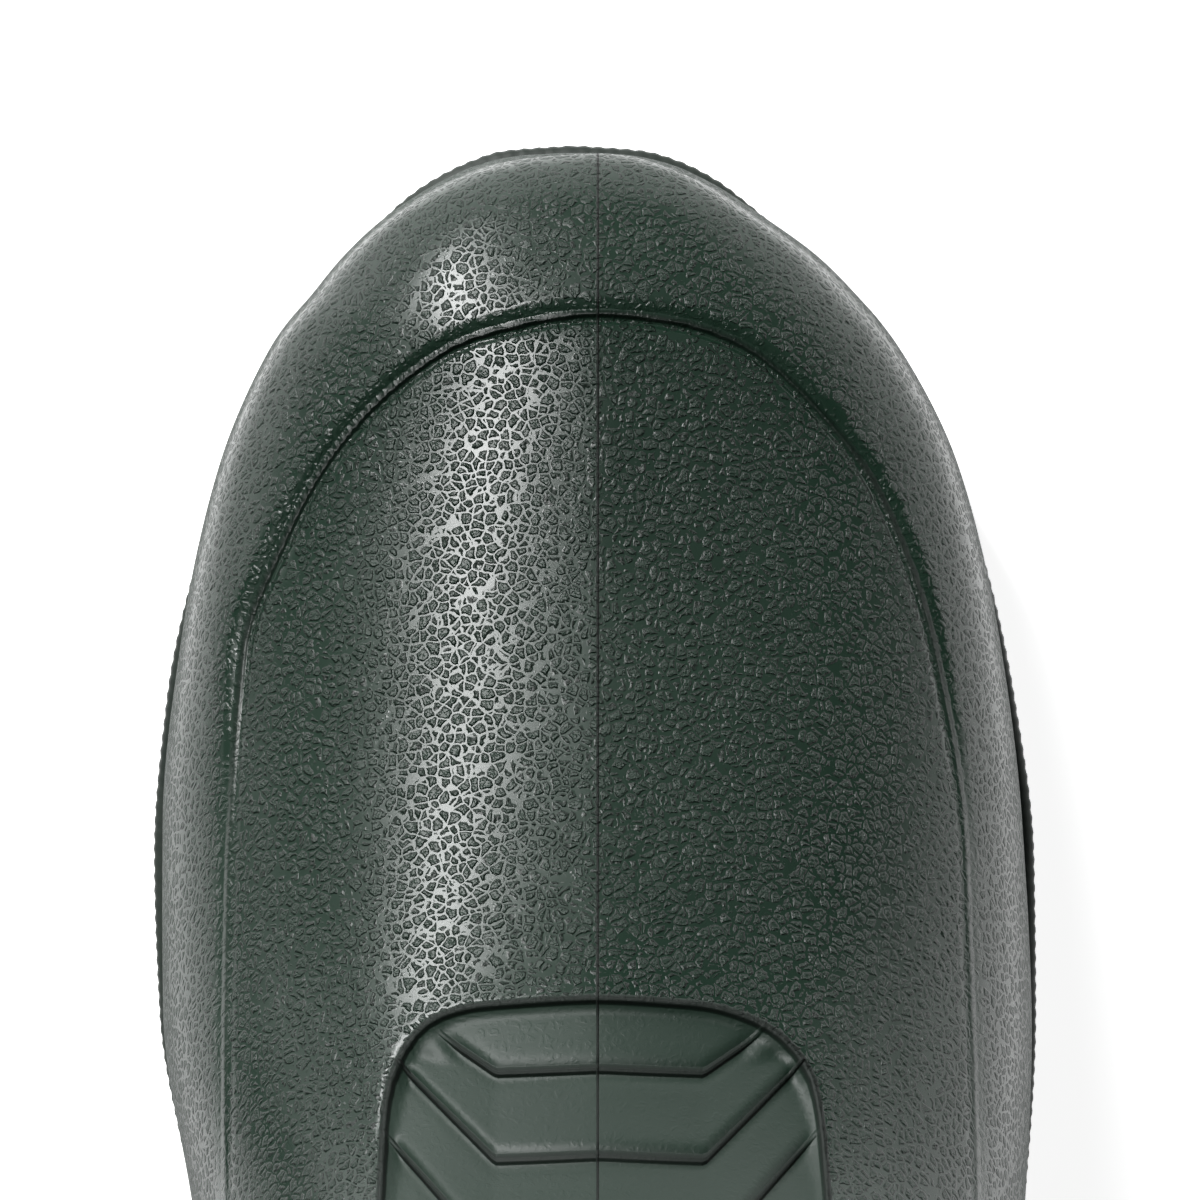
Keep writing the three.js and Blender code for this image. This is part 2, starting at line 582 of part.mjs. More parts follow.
const flapHalf = pocketHalf + FLAP_SIDE;
const flapInner = POCKET_DEPTH + 0.8;
const flapLow = pocketHigh - FLAP_DROP;
const flapAxisY = BODY_Y - CHEST_HALF_Y - CLEAR - 0.5;
const flapBlock = block([-flapHalf, -FAR, flapLow], [flapHalf, flapAxisY, pocketHigh + 0.8 + FLAP_THICK]);
const flapRoom = bodySolid(flapInner).intersect(block([-FAR, -FAR, 0], [FAR, FAR, pocketHigh + 0.8]));
const flapSkin = bodySolid(flapInner + FLAP_THICK).intersect(flapBlock).subtract(flapRoom);
add('chest_pocket_flap', tidy(flapSkin), GREEN_PATCH);

// ---------------------------------------------------------------- shoulder straps
const bibEdgeAt = BODY_Y - CHEST_HALF_Y * (1 - (STRAP_FOOT_X / CHEST_HALF_X) ** 2.2) ** (1 / 2.2);
const strapBase = 2.6; // the webbing's inner face over the fabric, past the edge binding
const wrapKeep = bodySolid(CLEAR * 2 + BINDING_THICK).subtract(crown(CLEAR * 2 + BINDING_THICK));

const grownRight = [];
SIDES.forEach(([name, side]) => {
  const foot = new THREE.Vector3(side * STRAP_FOOT_X, bibEdgeAt - strapBase - 2, BIB_FRONT_Z + 9);
  const shoulder = new THREE.Vector3(side * SHOULDER_X, BODY_Y - 2, SHOULDER_Z);
  const along = shoulder.clone().sub(foot);
  const run = along.length();
  along.normalize();
  const centre = new THREE.Vector3(foot.x, BODY_Y + 10, HUB_Z);
  const out = foot.clone().sub(centre);
  out.addScaledVector(along, -out.dot(along)).normalize();
  const at = (distance, lift = 0) => foot.clone().addScaledVector(along, distance).addScaledVector(out, lift);

  // the socket's mouth faces up the strap, the plug hangs down from the webbing
  const mouth = SOCKET_LENGTH + 6;
  const halves = buckle(WEB_WIDTH, WEB_THICK);
  const down = along.clone().negate();
  add(`${name}_strap_socket`, seatAt(halves.socket, down, out, at(mouth)), BLACK_PLASTIC);
  add(`${name}_strap_plug`, seatAt(halves.plug, down, out, at(mouth)), BLACK_PLASTIC);
  const bibFace = new THREE.Vector3(0, -1, 0);
  const tabPath = [
    new THREE.Vector3(foot.x, foot.y + 1.4, BIB_FRONT_Z - 62),
    new THREE.Vector3(foot.x, foot.y + 0.7, BIB_FRONT_Z - 20),
    new THREE.Vector3(foot.x, foot.y, BIB_FRONT_Z + 3),
    at(4),
    at(16),
  ];
  const tab = ribbon(tabPath, [bibFace, bibFace, bibFace, out, out], WEB_WIDTH, WEB_THICK);
  add(`${name}_front_tab`, tidy(tab.subtract(wrapKeep)), BLACK_WEB);
  const webbing = ribbon([at(mouth + PLUG_TRAVEL + 1), at(run)], [out, out], WEB_WIDTH, WEB_THICK);
  add(`${name}_front_webbing`, webbing, BLACK_WEB);
  const adjuster = seatAt(glide(WEB_WIDTH, WEB_THICK), down, out, at(mouth + ADJUSTER_AT));
  add(`${name}_strap_adjuster`, adjuster, BLACK_PLASTIC);

  // how steeply the elastic climbs from the crossing, 1 at a rise of 120
  const climb = (SHOULDER_Z - CROSS_Z) / 120;
  const over = [
    at(run - 22, WEB_THICK + CLEAR),
    at(run, WEB_THICK + CLEAR + 0.6),
    new THREE.Vector3(side * 95, -58, SHOULDER_Z + 19),
    new THREE.Vector3(side * 88, -22, SHOULDER_Z + 18),
    new THREE.Vector3(side * 72, 15, SHOULDER_Z - 9),
    new THREE.Vector3(side * 46, 44, CROSS_Z + 68 * climb),
    new THREE.Vector3(side * 22, 60, CROSS_Z + 32 * climb),
    new THREE.Vector3(0, CROSS_Y, CROSS_Z),
    new THREE.Vector3(-side * 26, CROSS_Y, CROSS_Z - 34),
    new THREE.Vector3(-side * 46, 64, CROSS_Z - 60),
    new THREE.Vector3(-side * 66, 60, CROSS_Z - 100),
  ];
  if (side > 0) {
    over.slice(6, 9).forEach((point) => { point.y += STRAP_THICK + CLEAR; });
  }
  const away = over.map((point, place) => {
    const hub = new THREE.Vector3(point.x, BODY_Y + 10, HUB_Z);
    const spread = place < 2 ? out.clone() : point.clone().sub(hub);
    return place > 6 ? new THREE.Vector3(0, 1, 0.1) : spread;
  });
  let elastic = ribbon(over, away, STRAP_WIDTH, STRAP_THICK).subtract(wrapKeep);
  if (side > 0) {
    elastic = elastic.subtract(grownRight[0]);
  }
  grownRight.push(ribbon(over, away, STRAP_WIDTH, STRAP_THICK, CLEAR));
  add(`${name}_elastic_strap`, tidy(elastic), BLACK_WEB);
});

/** Flat patch sewn over the place where the straps cross. */
const crossLow = [-CROSS_PATCH / 2, CROSS_Y - 7, CROSS_Z - CROSS_PATCH / 2];
const crossHigh = [CROSS_PATCH / 2, CROSS_Y + STRAP_THICK * 2 + CLEAR + 2.4, CROSS_Z + CROSS_PATCH / 2];
const crossBack = block([-90, 0, CROSS_Z - 100], [90, CROSS_Y + 1.5, CROSS_Z + 100]);
const cross = block(crossLow, crossHigh).subtract(grownRight[0]).subtract(grownRight[1]).subtract(crossBack);
const crossParts = cross.decompose().sort((a, b) => b.volume() - a.volume());
add('strap_cross_patch', crossParts[0], GREEN_PATCH);

// the origin is the middle of the base of the whole garment
const box = new THREE.Box3().setFromObject(group);
group.position.set(-(box.min.x + box.max.x) / 2, -(box.min.y + box.max.y) / 2, -box.min.z);

export default group;
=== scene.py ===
"""Looks of a pair of bootfoot chest waders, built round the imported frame.

The garment stands as it is worn. Lengths are millimetres in the garment's own layout (heels at y = 0,
toes towards -y) until a mesh is made, which is in metres in the frame's axes.
"""

from __future__ import annotations

import logging
import math
from dataclasses import dataclass
from enum import Enum
from typing import Iterable, Sequence

import bmesh
import bpy
import numpy as np
from mathutils import Matrix, Vector

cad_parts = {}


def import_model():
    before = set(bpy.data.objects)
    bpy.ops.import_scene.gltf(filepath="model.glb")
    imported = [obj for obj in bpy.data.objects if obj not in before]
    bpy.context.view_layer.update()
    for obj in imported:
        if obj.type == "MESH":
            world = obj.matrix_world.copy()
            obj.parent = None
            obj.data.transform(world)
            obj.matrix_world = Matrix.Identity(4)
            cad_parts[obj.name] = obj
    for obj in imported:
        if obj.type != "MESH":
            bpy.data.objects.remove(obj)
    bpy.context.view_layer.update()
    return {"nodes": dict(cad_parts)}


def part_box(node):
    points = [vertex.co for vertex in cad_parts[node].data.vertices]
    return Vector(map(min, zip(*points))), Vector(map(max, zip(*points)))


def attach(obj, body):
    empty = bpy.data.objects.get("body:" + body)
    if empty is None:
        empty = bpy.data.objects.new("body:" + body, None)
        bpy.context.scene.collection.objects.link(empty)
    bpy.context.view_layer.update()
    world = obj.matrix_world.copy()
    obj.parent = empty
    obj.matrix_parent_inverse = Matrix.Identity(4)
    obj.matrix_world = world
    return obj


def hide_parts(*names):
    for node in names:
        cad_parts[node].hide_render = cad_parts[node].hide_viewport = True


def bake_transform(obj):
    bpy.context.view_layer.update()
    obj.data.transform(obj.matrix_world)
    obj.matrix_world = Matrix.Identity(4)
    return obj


LOG = logging.getLogger("waders")
MM = 0.001
Array = np.ndarray
Thing = bpy.types.Object
Material = bpy.types.Material
Node = bpy.types.Node
NodeTree = bpy.types.NodeTree
Socket = bpy.types.NodeSocket
Plane = tuple[int, float, int]


class Side(Enum):
    """Which of the wearer's sides a piece is on, with its sign along x."""

    RIGHT = -1
    LEFT = 1

    @property
    def word(self) -> str:
        """Name used in the names of pieces."""
        return self.name.lower()


# ------------------------------------------------------------------ numeric helpers
def pchip(knots: Array, values: Array, at: Array) -> Array:
    """Smooth curve through values that never overshoots them.

    Args:
        knots: Rising places of the values.
        values: One row for each knot.
        at: Places to read.

    Returns:
        One row for each place.
    """
    values = np.asarray(values, float).reshape(len(knots), -1)
    step = np.diff(knots)[:, None]
    slope = np.diff(values, axis=0) / step
    tangent = np.zeros_like(values)
    same = slope[:-1] * slope[1:] > 0
    mean = 2 * slope[:-1] * slope[1:] / np.where(same, slope[:-1] + slope[1:], 1)
    tangent[1:-1] = np.where(same, mean, 0)
    tangent[0] = slope[0]
    tangent[-1] = slope[-1]
    place = np.clip(np.searchsorted(knots, at, side="right") - 1, 0, len(knots) - 2)
    width = step[place]
    share = ((at - knots[place])[:, None]) / width
    square, cube = share**2, share**3
    return (
        (2 * cube - 3 * square + 1) * values[place]
        + (cube - 2 * square + share) * width * tangent[place]
        + (3 * square - 2 * cube) * values[place + 1]
        + (cube - square) * width * tangent[place + 1]
    )


def smoothstep(low: float, high: float, value: Array) -> Array:
    """Soft step from 0 at low to 1 at high."""
    share = np.clip((value - low) / (high - low), 0, 1)
    return share * share * (3 - 2 * share)


def signed_power(value: Array, exponent: Array | float) -> Array:
    """Power that keeps the sign, for superellipse sections."""
    return np.sign(value) * np.abs(value) ** exponent


def distance_to_line(points: Array, line: Sequence[tuple[float, float]]) -> Array:
    """Shortest distance from plan points to a broken line.

    Args:
        points: Plan points, n by 2.
        line: Corners of the line.

    Returns:
        One distance for each point.
    """
    best = np.full(len(points), 1e9)
    corners = np.asarray(line, float)
    for start, end in zip(corners[:-1], corners[1:]):
        along = end - start
        share = np.clip(((points - start) @ along) / max(along @ along, 1e-9), 0, 1)
        gap = np.linalg.norm(points - start - share[:, None] * along, axis=1)
        best = np.minimum(best, gap)
    return best


def inside_outline(points: Array, outline: Sequence[tuple[float, float]]) -> Array:
    """Whether plan points lie inside a closed outline, by crossings."""
    corners = np.asarray(outline, float)
    inside = np.zeros(len(points), bool)
    for (ax, ay), (bx, by) in zip(corners, np.roll(corners, -1, axis=0)):
        if ay == by:
            continue
        crosses = (ay > points[:, 1]) != (by > points[:, 1])
        reach = (bx - ax) * (points[:, 1] - ay) / (by - ay) + ax
        inside ^= crosses & (points[:, 0] < reach)
    return inside


def smooth_line(corners: Sequence[tuple[float, ...]], count: int) -> Array:
    """Evenly spaced points on a smooth curve through corners."""
    raw = np.asarray(corners, float)
    knots = np.concatenate([[0], np.cumsum(np.linalg.norm(np.diff(raw, axis=0), axis=1))])
    dense = pchip(knots, raw, np.linspace(0, knots[-1], count * 4))
    run = np.concatenate([[0], np.cumsum(np.linalg.norm(np.diff(dense, axis=0), axis=1))])
    even = np.linspace(0, run[-1], count)
    return np.stack([np.interp(even, run, dense[:, axis]) for axis in range(raw.shape[1])], axis=1)


# ------------------------------------------------------------------ mesh helpers
@dataclass
class Layout:
    """Where the garment's own layout lies in the frame."""

    shift_y: float

    def metres(self, points: Array) -> Array:
        """Points of the garment's layout as frame points in metres."""
        moved = np.array(points, float)
        moved[..., 1] += self.shift_y
        return moved * MM


class MeshMaker:
    """Turns arrays into Blender objects."""

    def __init__(self, layout: Layout) -> None:
        self.layout = layout

    def grid(
        self,
        name: str,
        rows: Array,
        closed: bool = True,
        cap_start: bool = False,
        cap_end: bool = False,
    ) -> Thing:
        """Skins a grid of points, rows by columns.

        Args:
            name: Object's name.
            rows: Array of rows, columns and x, y, z in millimetres.
            closed: Whether each row closes on itself.
            cap_start: Whether the first row is filled with a fan.
            cap_end: Whether the last row is filled with a fan.

        Returns:
            The new object.
        """
        count, columns = rows.shape[:2]
        index = np.arange(count * columns).reshape(count, columns)
        span = columns if closed else columns - 1
        left = index[:, np.arange(span)]
        right = index[:, (np.arange(span) + 1) % columns]
        faces = np.stack([left[:-1], right[:-1], right[1:], left[1:]], axis=-1).reshape(-1, 4)
        verts = rows.reshape(-1, 3)
        polygons: list[list[int]] = faces.tolist()
        for wanted, row, flip in ((cap_start, 0, True), (cap_end, count - 1, False)):
            if wanted:
                centre = len(verts)
                verts = np.vstack([verts, rows[row].mean(0)])
                for a, b in zip(left[row].tolist(), right[row].tolist()):
                    polygons.append([b, a, centre] if flip else [a, b, centre])
        mesh = bpy.data.meshes.new(name)
        mesh.from_pydata(self.layout.metres(verts).tolist(), [], polygons)
        self._coordinates(mesh, rows, left.shape[1])
        mesh.update()
        mesh.shade_smooth()
        thing = bpy.data.objects.new(name, mesh)
        bpy.context.scene.collection.objects.link(thing)
        return thing

    @staticmethod
    def _coordinates(mesh: bpy.types.Mesh, rows: Array, span: int) -> None:
        """Lays flat coordinates in metres on a grid's faces."""
        down = np.linalg.norm(np.diff(rows, axis=0), axis=2).mean(1)
        along = np.concatenate([[0], np.cumsum(down)]) * MM
        wrapped = np.concatenate([rows, rows[:, :1]], axis=1)
        side = np.linalg.norm(np.diff(wrapped, axis=1), axis=2).mean(0)
        across = np.concatenate([[0], np.cumsum(side)]) * MM
        layer = mesh.uv_layers.new(name="flat")
        r, c = np.meshgrid(np.arange(len(rows) - 1), np.arange(span), indexing="ij")
        corners = [(r, c), (r, c + 1), (r + 1, c + 1), (r + 1, c)]
        uv = np.stack([np.stack([across[b], along[a]], -1) for a, b in corners], 2).reshape(-1, 2)
        full = np.zeros((len(mesh.loops), 2), np.float32)
        full[: len(uv)] = uv
        layer.data.foreach_set("uv", full.ravel())

    @staticmethod
    def attribute(thing: Thing, name: str, values: Array) -> None:
        """Stores one number for each vertex."""
        layer = thing.data.attributes.new(name, "FLOAT", "POINT")
        padded = np.zeros(len(thing.data.vertices), np.float32)
        padded[: len(values)] = values
        layer.data.foreach_set("value", padded)

    @staticmethod
    def weld(thing: Thing, gap: float = 1e-5) -> None:
        """Merges points closer than a gap and turns every face outwards."""
        work = bmesh.new()
        work.from_mesh(thing.data)
        bmesh.ops.remove_doubles(work, verts=work.verts, dist=gap)
        bmesh.ops.recalc_face_normals(work, faces=work.faces)
        work.to_mesh(thing.data)
        work.free()

    @staticmethod
    def settle(thing: Thing) -> None:
        """Applies an object's modifiers to its mesh."""
        bpy.context.view_layer.update()
        graph = bpy.context.evaluated_depsgraph_get()
        mesh = bpy.data.meshes.new_from_object(thing.evaluated_get(graph))
        old = thing.data
        thing.modifiers.clear()
        thing.data = mesh
        bpy.data.meshes.remove(old)

    @staticmethod
    def copy(thing: Thing, name: str) -> Thing:
        """Separate copy of an object with its own mesh."""
        twin = bpy.data.objects.new(name, thing.data.copy())
        bpy.context.scene.collection.objects.link(twin)
        return twin


# ------------------------------------------------------------------ shader building blocks
class Tree:
    """Thin writer for a node tree."""

    def __init__(self, tree: NodeTree) -> None:
        self.tree = tree

    def add(
        self, kind: str, inputs: dict[str | int, object] | None = None, **settings: object
    ) -> Node:
        """Adds a node.

        Args:
            kind: Blender's node type.
            inputs: Values or output sockets for its inputs, by name or place.
            **settings: Properties of the node.

        Returns:
            The node.
        """
        node = self.tree.nodes.new(kind)
        for key, value in settings.items():
            setattr(node, key, value)
        for key, value in (inputs or {}).items():
            socket = node.inputs[key]
            if isinstance(value, Socket):
                self.tree.links.new(value, socket)
            else:
                socket.default_value = value
        return node

    def math(self, operation: str, *values: object) -> Socket:
        """Result of a Math node on up to three values."""
        node = self.add("ShaderNodeMath", dict(enumerate(values)), operation=operation)
        return node.outputs[0]

    def spread(
        self, value: object, low: float, high: float, to_low: object, to_high: object
    ) -> Socket:
        """Soft remap of a value between two levels."""
        node = self.add(
            "ShaderNodeMapRange",
            {0: value, 1: low, 2: high, 3: to_low, 4: to_high},
            interpolation_type="SMOOTHSTEP",
        )
        return node.outputs[0]

    def blend(self, factor: object, first: object, second: object) -> Socket:
        """Mix of two colours."""
        node = self.add("ShaderNodeMix", data_type="RGBA", blend_type="MIX")
        for place, value in ((0, factor), (6, first), (7, second)):
            if isinstance(value, Socket):
                self.tree.links.new(value, node.inputs[place])
            else:
                node.inputs[place].default_value = value
        return node.outputs[2]


class GroupKit:
    """Shared surface effects as node groups, each built once."""

    def __init__(self) -> None:
        self.pebble = self._pebble()
        self.weave = self._weave()
        self.wear = self._wear()

    @staticmethod
    def _open(name: str, inputs: dict[str, object], outputs: Iterable[str]) -> tuple[Tree, dict, Node]:
        """New group with its sockets.

        Args:
            name: Group's name.
            inputs: Input names with their default values; None makes a vector.
            outputs: Names of the value outputs.

        Returns:
            The tree writer, the input sockets by name and the output node.
        """
        group = bpy.data.node_groups.new(name, "ShaderNodeTree")
        for label, value in inputs.items():
            kind = "NodeSocketVector" if value is None else "NodeSocketFloat"
            socket = group.interface.new_socket(name=label, in_out="INPUT", socket_type=kind)
            if value is not None:
                socket.default_value = value
        for label in outputs:
            group.interface.new_socket(name=label, in_out="OUTPUT", socket_type="NodeSocketFloat")
        tree = Tree(group)
        entry = tree.add("NodeGroupInput")
        sockets = {label: entry.outputs[label] for label in inputs}
        return tree, sockets, tree.add("NodeGroupOutput")

    def _pebble(self) -> NodeTree:
        """Raised irregular islands with sunken outlines, and a fine speckle on them."""
        tree, entry, leave = self._open(
            "pebble grain", {"Vector": None, "Scale": 500.0, "Warp": 0.85}, ["Height", "Outline", "Top"]
        )
        swirl = tree.math("MULTIPLY", entry["Scale"], 0.8)
        noise = tree.add("ShaderNodeTexNoise", {"Vector": entry["Vector"], "Scale": swirl, "Detail": 2.0})
        centred = tree.add(
            "ShaderNodeVectorMath", {0: noise.outputs["Color"], 1: (0.5, 0.5, 0.5)}, operation="SUBTRACT"
        )
        amount = tree.math("DIVIDE", entry["Warp"], entry["Scale"])
        push = tree.add("ShaderNodeVectorMath", {0: centred.outputs[0], "Scale": amount}, operation="SCALE")
        place = tree.add("ShaderNodeVectorMath", {0: entry["Vector"], 1: push.outputs[0]}, operation="ADD")
        cells = tree.add(
            "ShaderNodeTexVoronoi",
            {"Vector": place.outputs[0], "Scale": entry["Scale"], "Randomness": 0.95},
            feature="DISTANCE_TO_EDGE",
        )
        island = tree.spread(cells.outputs["Distance"], 0.07, 0.23, 0.0, 1.0)
        tone = tree.add(
            "ShaderNodeTexVoronoi",
            {"Vector": place.outputs[0], "Scale": entry["Scale"], "Randomness": 0.95},
            feature="F1",
        )
        level = tree.add("ShaderNodeSeparateColor", {0: tone.outputs["Color"]})
        lifted = tree.math("MULTIPLY", island, tree.spread(level.outputs[0], 0.0, 1.0, 0.6, 1.0))
        speck = tree.add("ShaderNodeTexNoise", {"Vector": entry["Vector"], "Scale": 2400.0, "Detail": 1.0})
        dimple = tree.math("MULTIPLY", tree.spread(speck.outputs["Fac"], 0.42, 0.58, 0.0, 1.0), island)
        height = tree.math("MULTIPLY_ADD", dimple, -0.45, lifted)
        slope = tree.math("MULTIPLY", island, tree.math("SUBTRACT", 1.0, island))
        tree.tree.links.new(height, leave.inputs["Height"])
        tree.tree.links.new(tree.math("MULTIPLY", slope, 4.0), leave.inputs["Outline"])
        tree.tree.links.new(island, leave.inputs["Top"])
        return tree.tree

    def _weave(self) -> NodeTree:
        """Plain weave of crossing threads on flat coordinates."""
        tree, entry, leave = self._open(
            "thread weave",
            {"Vector": None, "Warp threads": 1800.0, "Weft threads": 1800.0},
            ["Height", "Gap"],
        )
        axes = tree.add("ShaderNodeSeparateXYZ", {0: entry["Vector"]})
        across = tree.math("MULTIPLY", axes.outputs[0], entry["Warp threads"])
        along = tree.math("MULTIPLY", axes.outputs[1], entry["Weft threads"])
        warp = tree.math("ABSOLUTE", tree.math("SINE", tree.math("MULTIPLY", across, math.pi)))
        weft = tree.math("ABSOLUTE", tree.math("SINE", tree.math("MULTIPLY", along, math.pi)))
        turn = tree.math(
            "MODULO", tree.math("ADD", tree.math("FLOOR", across), tree.math("FLOOR", along)), 2.0
        )
        over = tree.math("ABSOLUTE", turn)
        first = tree.math("MULTIPLY", warp, tree.math("MULTIPLY_ADD", over, 0.5, 0.5))
        second = tree.math("MULTIPLY", weft, tree.math("MULTIPLY_ADD", over, -0.5, 1.0))
        height = tree.math("MAXIMUM", first, second)
        tree.tree.links.new(height, leave.inputs["Height"])
        tree.tree.links.new(tree.spread(height, 0.0, 0.6, 1.0, 0.0), leave.inputs["Gap"])
        return tree.tree

    def _wear(self) -> NodeTree:
        """Broad unevenness of tone and gloss, as on handled rubber and cloth."""
        tree, entry, leave = self._open("handling", {"Vector": None, "Scale": 14.0}, ["Tone", "Dust"])
        broad = tree.add(
            "ShaderNodeTexNoise",
            {"Vector": entry["Vector"], "Scale": entry["Scale"], "Detail": 5.0, "Roughness": 0.6},
        )
        fine = tree.math("MULTIPLY", entry["Scale"], 9.0)
        dust = tree.add("ShaderNodeTexNoise", {"Vector": entry["Vector"], "Scale": fine, "Detail": 4.0})
        tree.tree.links.new(tree.spread(broad.outputs["Fac"], 0.3, 0.7, 0.0, 1.0), leave.inputs["Tone"])
        tree.tree.links.new(tree.spread(dust.outputs["Fac"], 0.5, 0.8, 0.0, 1.0), leave.inputs["Dust"])
        return tree.tree


Colour = tuple[float, float, float]


def rgba(colour: Colour) -> tuple[float, float, float, float]:
    """Colour with full cover."""
    return (*colour, 1.0)


@dataclass(frozen=True)
class Finish:
    """A surface finish. Colours are linear."""

    name: str
    dark: Colour
    light: Colour
    rough_low: float
    rough_high: float
    specular: float = 0.5
    sheen: float = 0.0

    def start(self) -> tuple[Material, Tree, Node]:
        """New material with its shader's uniform values set.

        Returns:
            The material, its tree writer and its Principled shader.
        """
        material = bpy.data.materials.new(self.name)
        material.use_nodes = True
        tree = Tree(material.node_tree)
        shader = material.node_tree.nodes["Principled BSDF"]
        shader.inputs["Specular IOR Level"].default_value = self.specular
        shader.inputs["Sheen Weight"].default_value = self.sheen
        shader.inputs["Sheen Roughness"].default_value = 0.5
        return material, tree, shader

    def deep(self, share: float) -> tuple[float, float, float, float]:
        """Takes the dark colour down to a share of itself, the colour of painted shade in grooves, outlines and
        gaps.

        Args:
            share: How much of the dark colour is left.

        Returns:
            Colour with full opacity.
        """
        return rgba(tuple(share * part for part in self.dark))

    def uneven(self, kit: GroupKit, tree: Tree, scale: float) -> tuple[Socket, Socket, Socket]:
        """Base colour and roughness with broad unevenness.

        Args:
            kit: Shared effects.
            tree: Tree to write in.
            scale: Scale of the unevenness.

        Returns:
            Object coordinates, the colour and the roughness.
        """
        place = tree.add("ShaderNodeTexCoord").outputs["Object"]
        wear = tree.add("ShaderNodeGroup", {}, node_tree=kit.wear)
        tree.tree.links.new(place, wear.inputs["Vector"])
        wear.inputs["Scale"].default_value = scale
        colour = tree.blend(wear.outputs["Tone"], rgba(self.dark), rgba(self.light))
        rough = tree.spread(wear.outputs["Tone"], 0.0, 1.0, self.rough_low, self.rough_high)
        return place, colour, rough

    @staticmethod
    def close(
        tree: Tree, shader: Node, colour: object, rough: object, height: object, depth: float
    ) -> None:
        """Joins colour, roughness and a bump of a depth in metres to the shader."""
        bump = tree.add("ShaderNodeBump", {"Height": height, "Distance": depth, "Strength": 1.0})
        tree.tree.links.new(colour, shader.inputs["Base Color"])
        tree.tree.links.new(rough, shader.inputs["Roughness"])
        tree.tree.links.new(bump.outputs[0], shader.inputs["Normal"])


@dataclass(frozen=True)
class MouldedBoot(Finish):
    """Moulded boot compound: pebble grain, smooth flex zone, parting line and toe guard edge."""

    grain_scale: float = 740.0
    grain_depth: float = 0.00028
    groove_pitch: float = 9.4

    def build(self, kit: GroupKit) -> Material:
        """Makes the material.

        Args:
            kit: Shared effects.

        Returns:
            The material.
        """
        material, tree, shader = self.start()
        place, colour, rough = self.uneven(kit, tree, 18.0)

        def field_of(name: str) -> Socket:
            return tree.add("ShaderNodeAttribute", attribute_name=name).outputs["Fac"]

        coarse = tree.add("ShaderNodeGroup", {}, node_tree=kit.pebble)
        fine = tree.add("ShaderNodeGroup", {}, node_tree=kit.pebble)
        for node, scale in ((coarse, self.grain_scale), (fine, self.grain_scale * 1.9)):
            tree.tree.links.new(place, node.inputs["Vector"])
            node.inputs["Scale"].default_value = scale
        lower = field_of("lower_wall")
        grain = tree.math(
            "ADD",
            tree.math("MULTIPLY", coarse.outputs["Height"], tree.math("SUBTRACT", 1.0, lower)),
            tree.math("MULTIPLY", tree.math("MULTIPLY", fine.outputs["Height"], 0.6), lower),
        )
        bare = tree.spread(field_of("flex"), -0.1, 0.6, 0.0, 1.0)
        crease_gap = field_of("guard")
        near = tree.spread(tree.math("ABSOLUTE", crease_gap), 0.5, 1.5, 1.0, 0.0)
        plain = tree.math("MAXIMUM", bare, tree.math("MULTIPLY", near, 0.8))
        grain = tree.math("MULTIPLY", grain, tree.math("SUBTRACT", 1.0, tree.math("MULTIPLY", plain, 0.93)))
        # the guard's foot is a fine sunken line, with a small lip on the panel's side
        from_foot = tree.math("ABSOLUTE", tree.math("SUBTRACT", crease_gap, 0.35))
        sunk = tree.spread(from_foot, 0.0, 0.55, 1.0, 0.0)
        from_lip = tree.math("ABSOLUTE", tree.math("SUBTRACT", crease_gap, 1.25))
        lip = tree.spread(from_lip, 0.0, 0.6, 1.0, 0.0)
        strength = field_of("guard_strength")
        lines = tree.math("MULTIPLY_ADD", sunk, -2.2, tree.math("MULTIPLY", lip, 0.9))
        lines = tree.math("MULTIPLY", lines, strength)
        middle = tree.math("ABSOLUTE", field_of("parting"))
        ridge = tree.spread(middle, 0.0, 0.2, -1.3, 0.0)
        turn = tree.math("FRACT", tree.math("ADD", field_of("groove"), 0.5))
        off_middle = tree.math("ABSOLUTE", tree.math("SUBTRACT", turn, 0.5))
        groove = tree.math("MULTIPLY", off_middle, self.groove_pitch)
        cut = tree.math("MULTIPLY", field_of("groove_strength"), bare)
        notch = tree.math("MULTIPLY", tree.spread(groove, 0.1, 0.5, -1.9, 0.0), cut)
        rim = tree.math("ABSOLUTE", tree.math("SUBTRACT", field_of("flex"), 0.45))
        edge = tree.spread(rim, 0.05, 0.5, -1.6, 0.0)
        cuts = tree.math("ADD", tree.math("ADD", ridge, notch), edge)
        height = tree.math("ADD", tree.math("ADD", grain, lines), cuts)
        outline = tree.math("MULTIPLY", coarse.outputs["Outline"], tree.math("SUBTRACT", 1.0, plain))
        # painted shade: the colour is darkened in the sunken outlines round the grain's raised islands
        colour = tree.blend(tree.math("MULTIPLY", outline, 0.85), colour, self.deep(0.3))
        # painted shade: darker colour in the guard's sunken foot line, the flex grooves, the flex zone's recess
        # edge and the parting line
        shade = tree.math("MULTIPLY", tree.math("MULTIPLY", sunk, strength), 0.75)
        in_groove = tree.math("MULTIPLY", tree.spread(groove, 0.1, 0.7, 0.8, 0.0), cut)
        shade = tree.math("MAXIMUM", shade, in_groove)
        shade = tree.math("MAXIMUM", shade, tree.spread(rim, 0.15, 0.6, 0.8, 0.0))
        shade = tree.math("MAXIMUM", shade, tree.spread(middle, 0.08, 0.2, 0.8, 0.0))
        colour = tree.blend(shade, colour, self.deep(0.2))
        top = tree.math("MULTIPLY", coarse.outputs["Top"], tree.math("SUBTRACT", 1.0, plain))
        rough = tree.math("MULTIPLY_ADD", bare, 0.24, tree.math("MULTIPLY_ADD", top, 0.15, rough))
        rough = tree.math("MULTIPLY_ADD", shade, 0.3, tree.math("MULTIPLY_ADD", outline, 0.12, rough))
        rough = tree.math("MULTIPLY_ADD", lower, 0.3, rough)
        self.close(tree, shader, colour, rough, height, self.grain_depth)
        return material


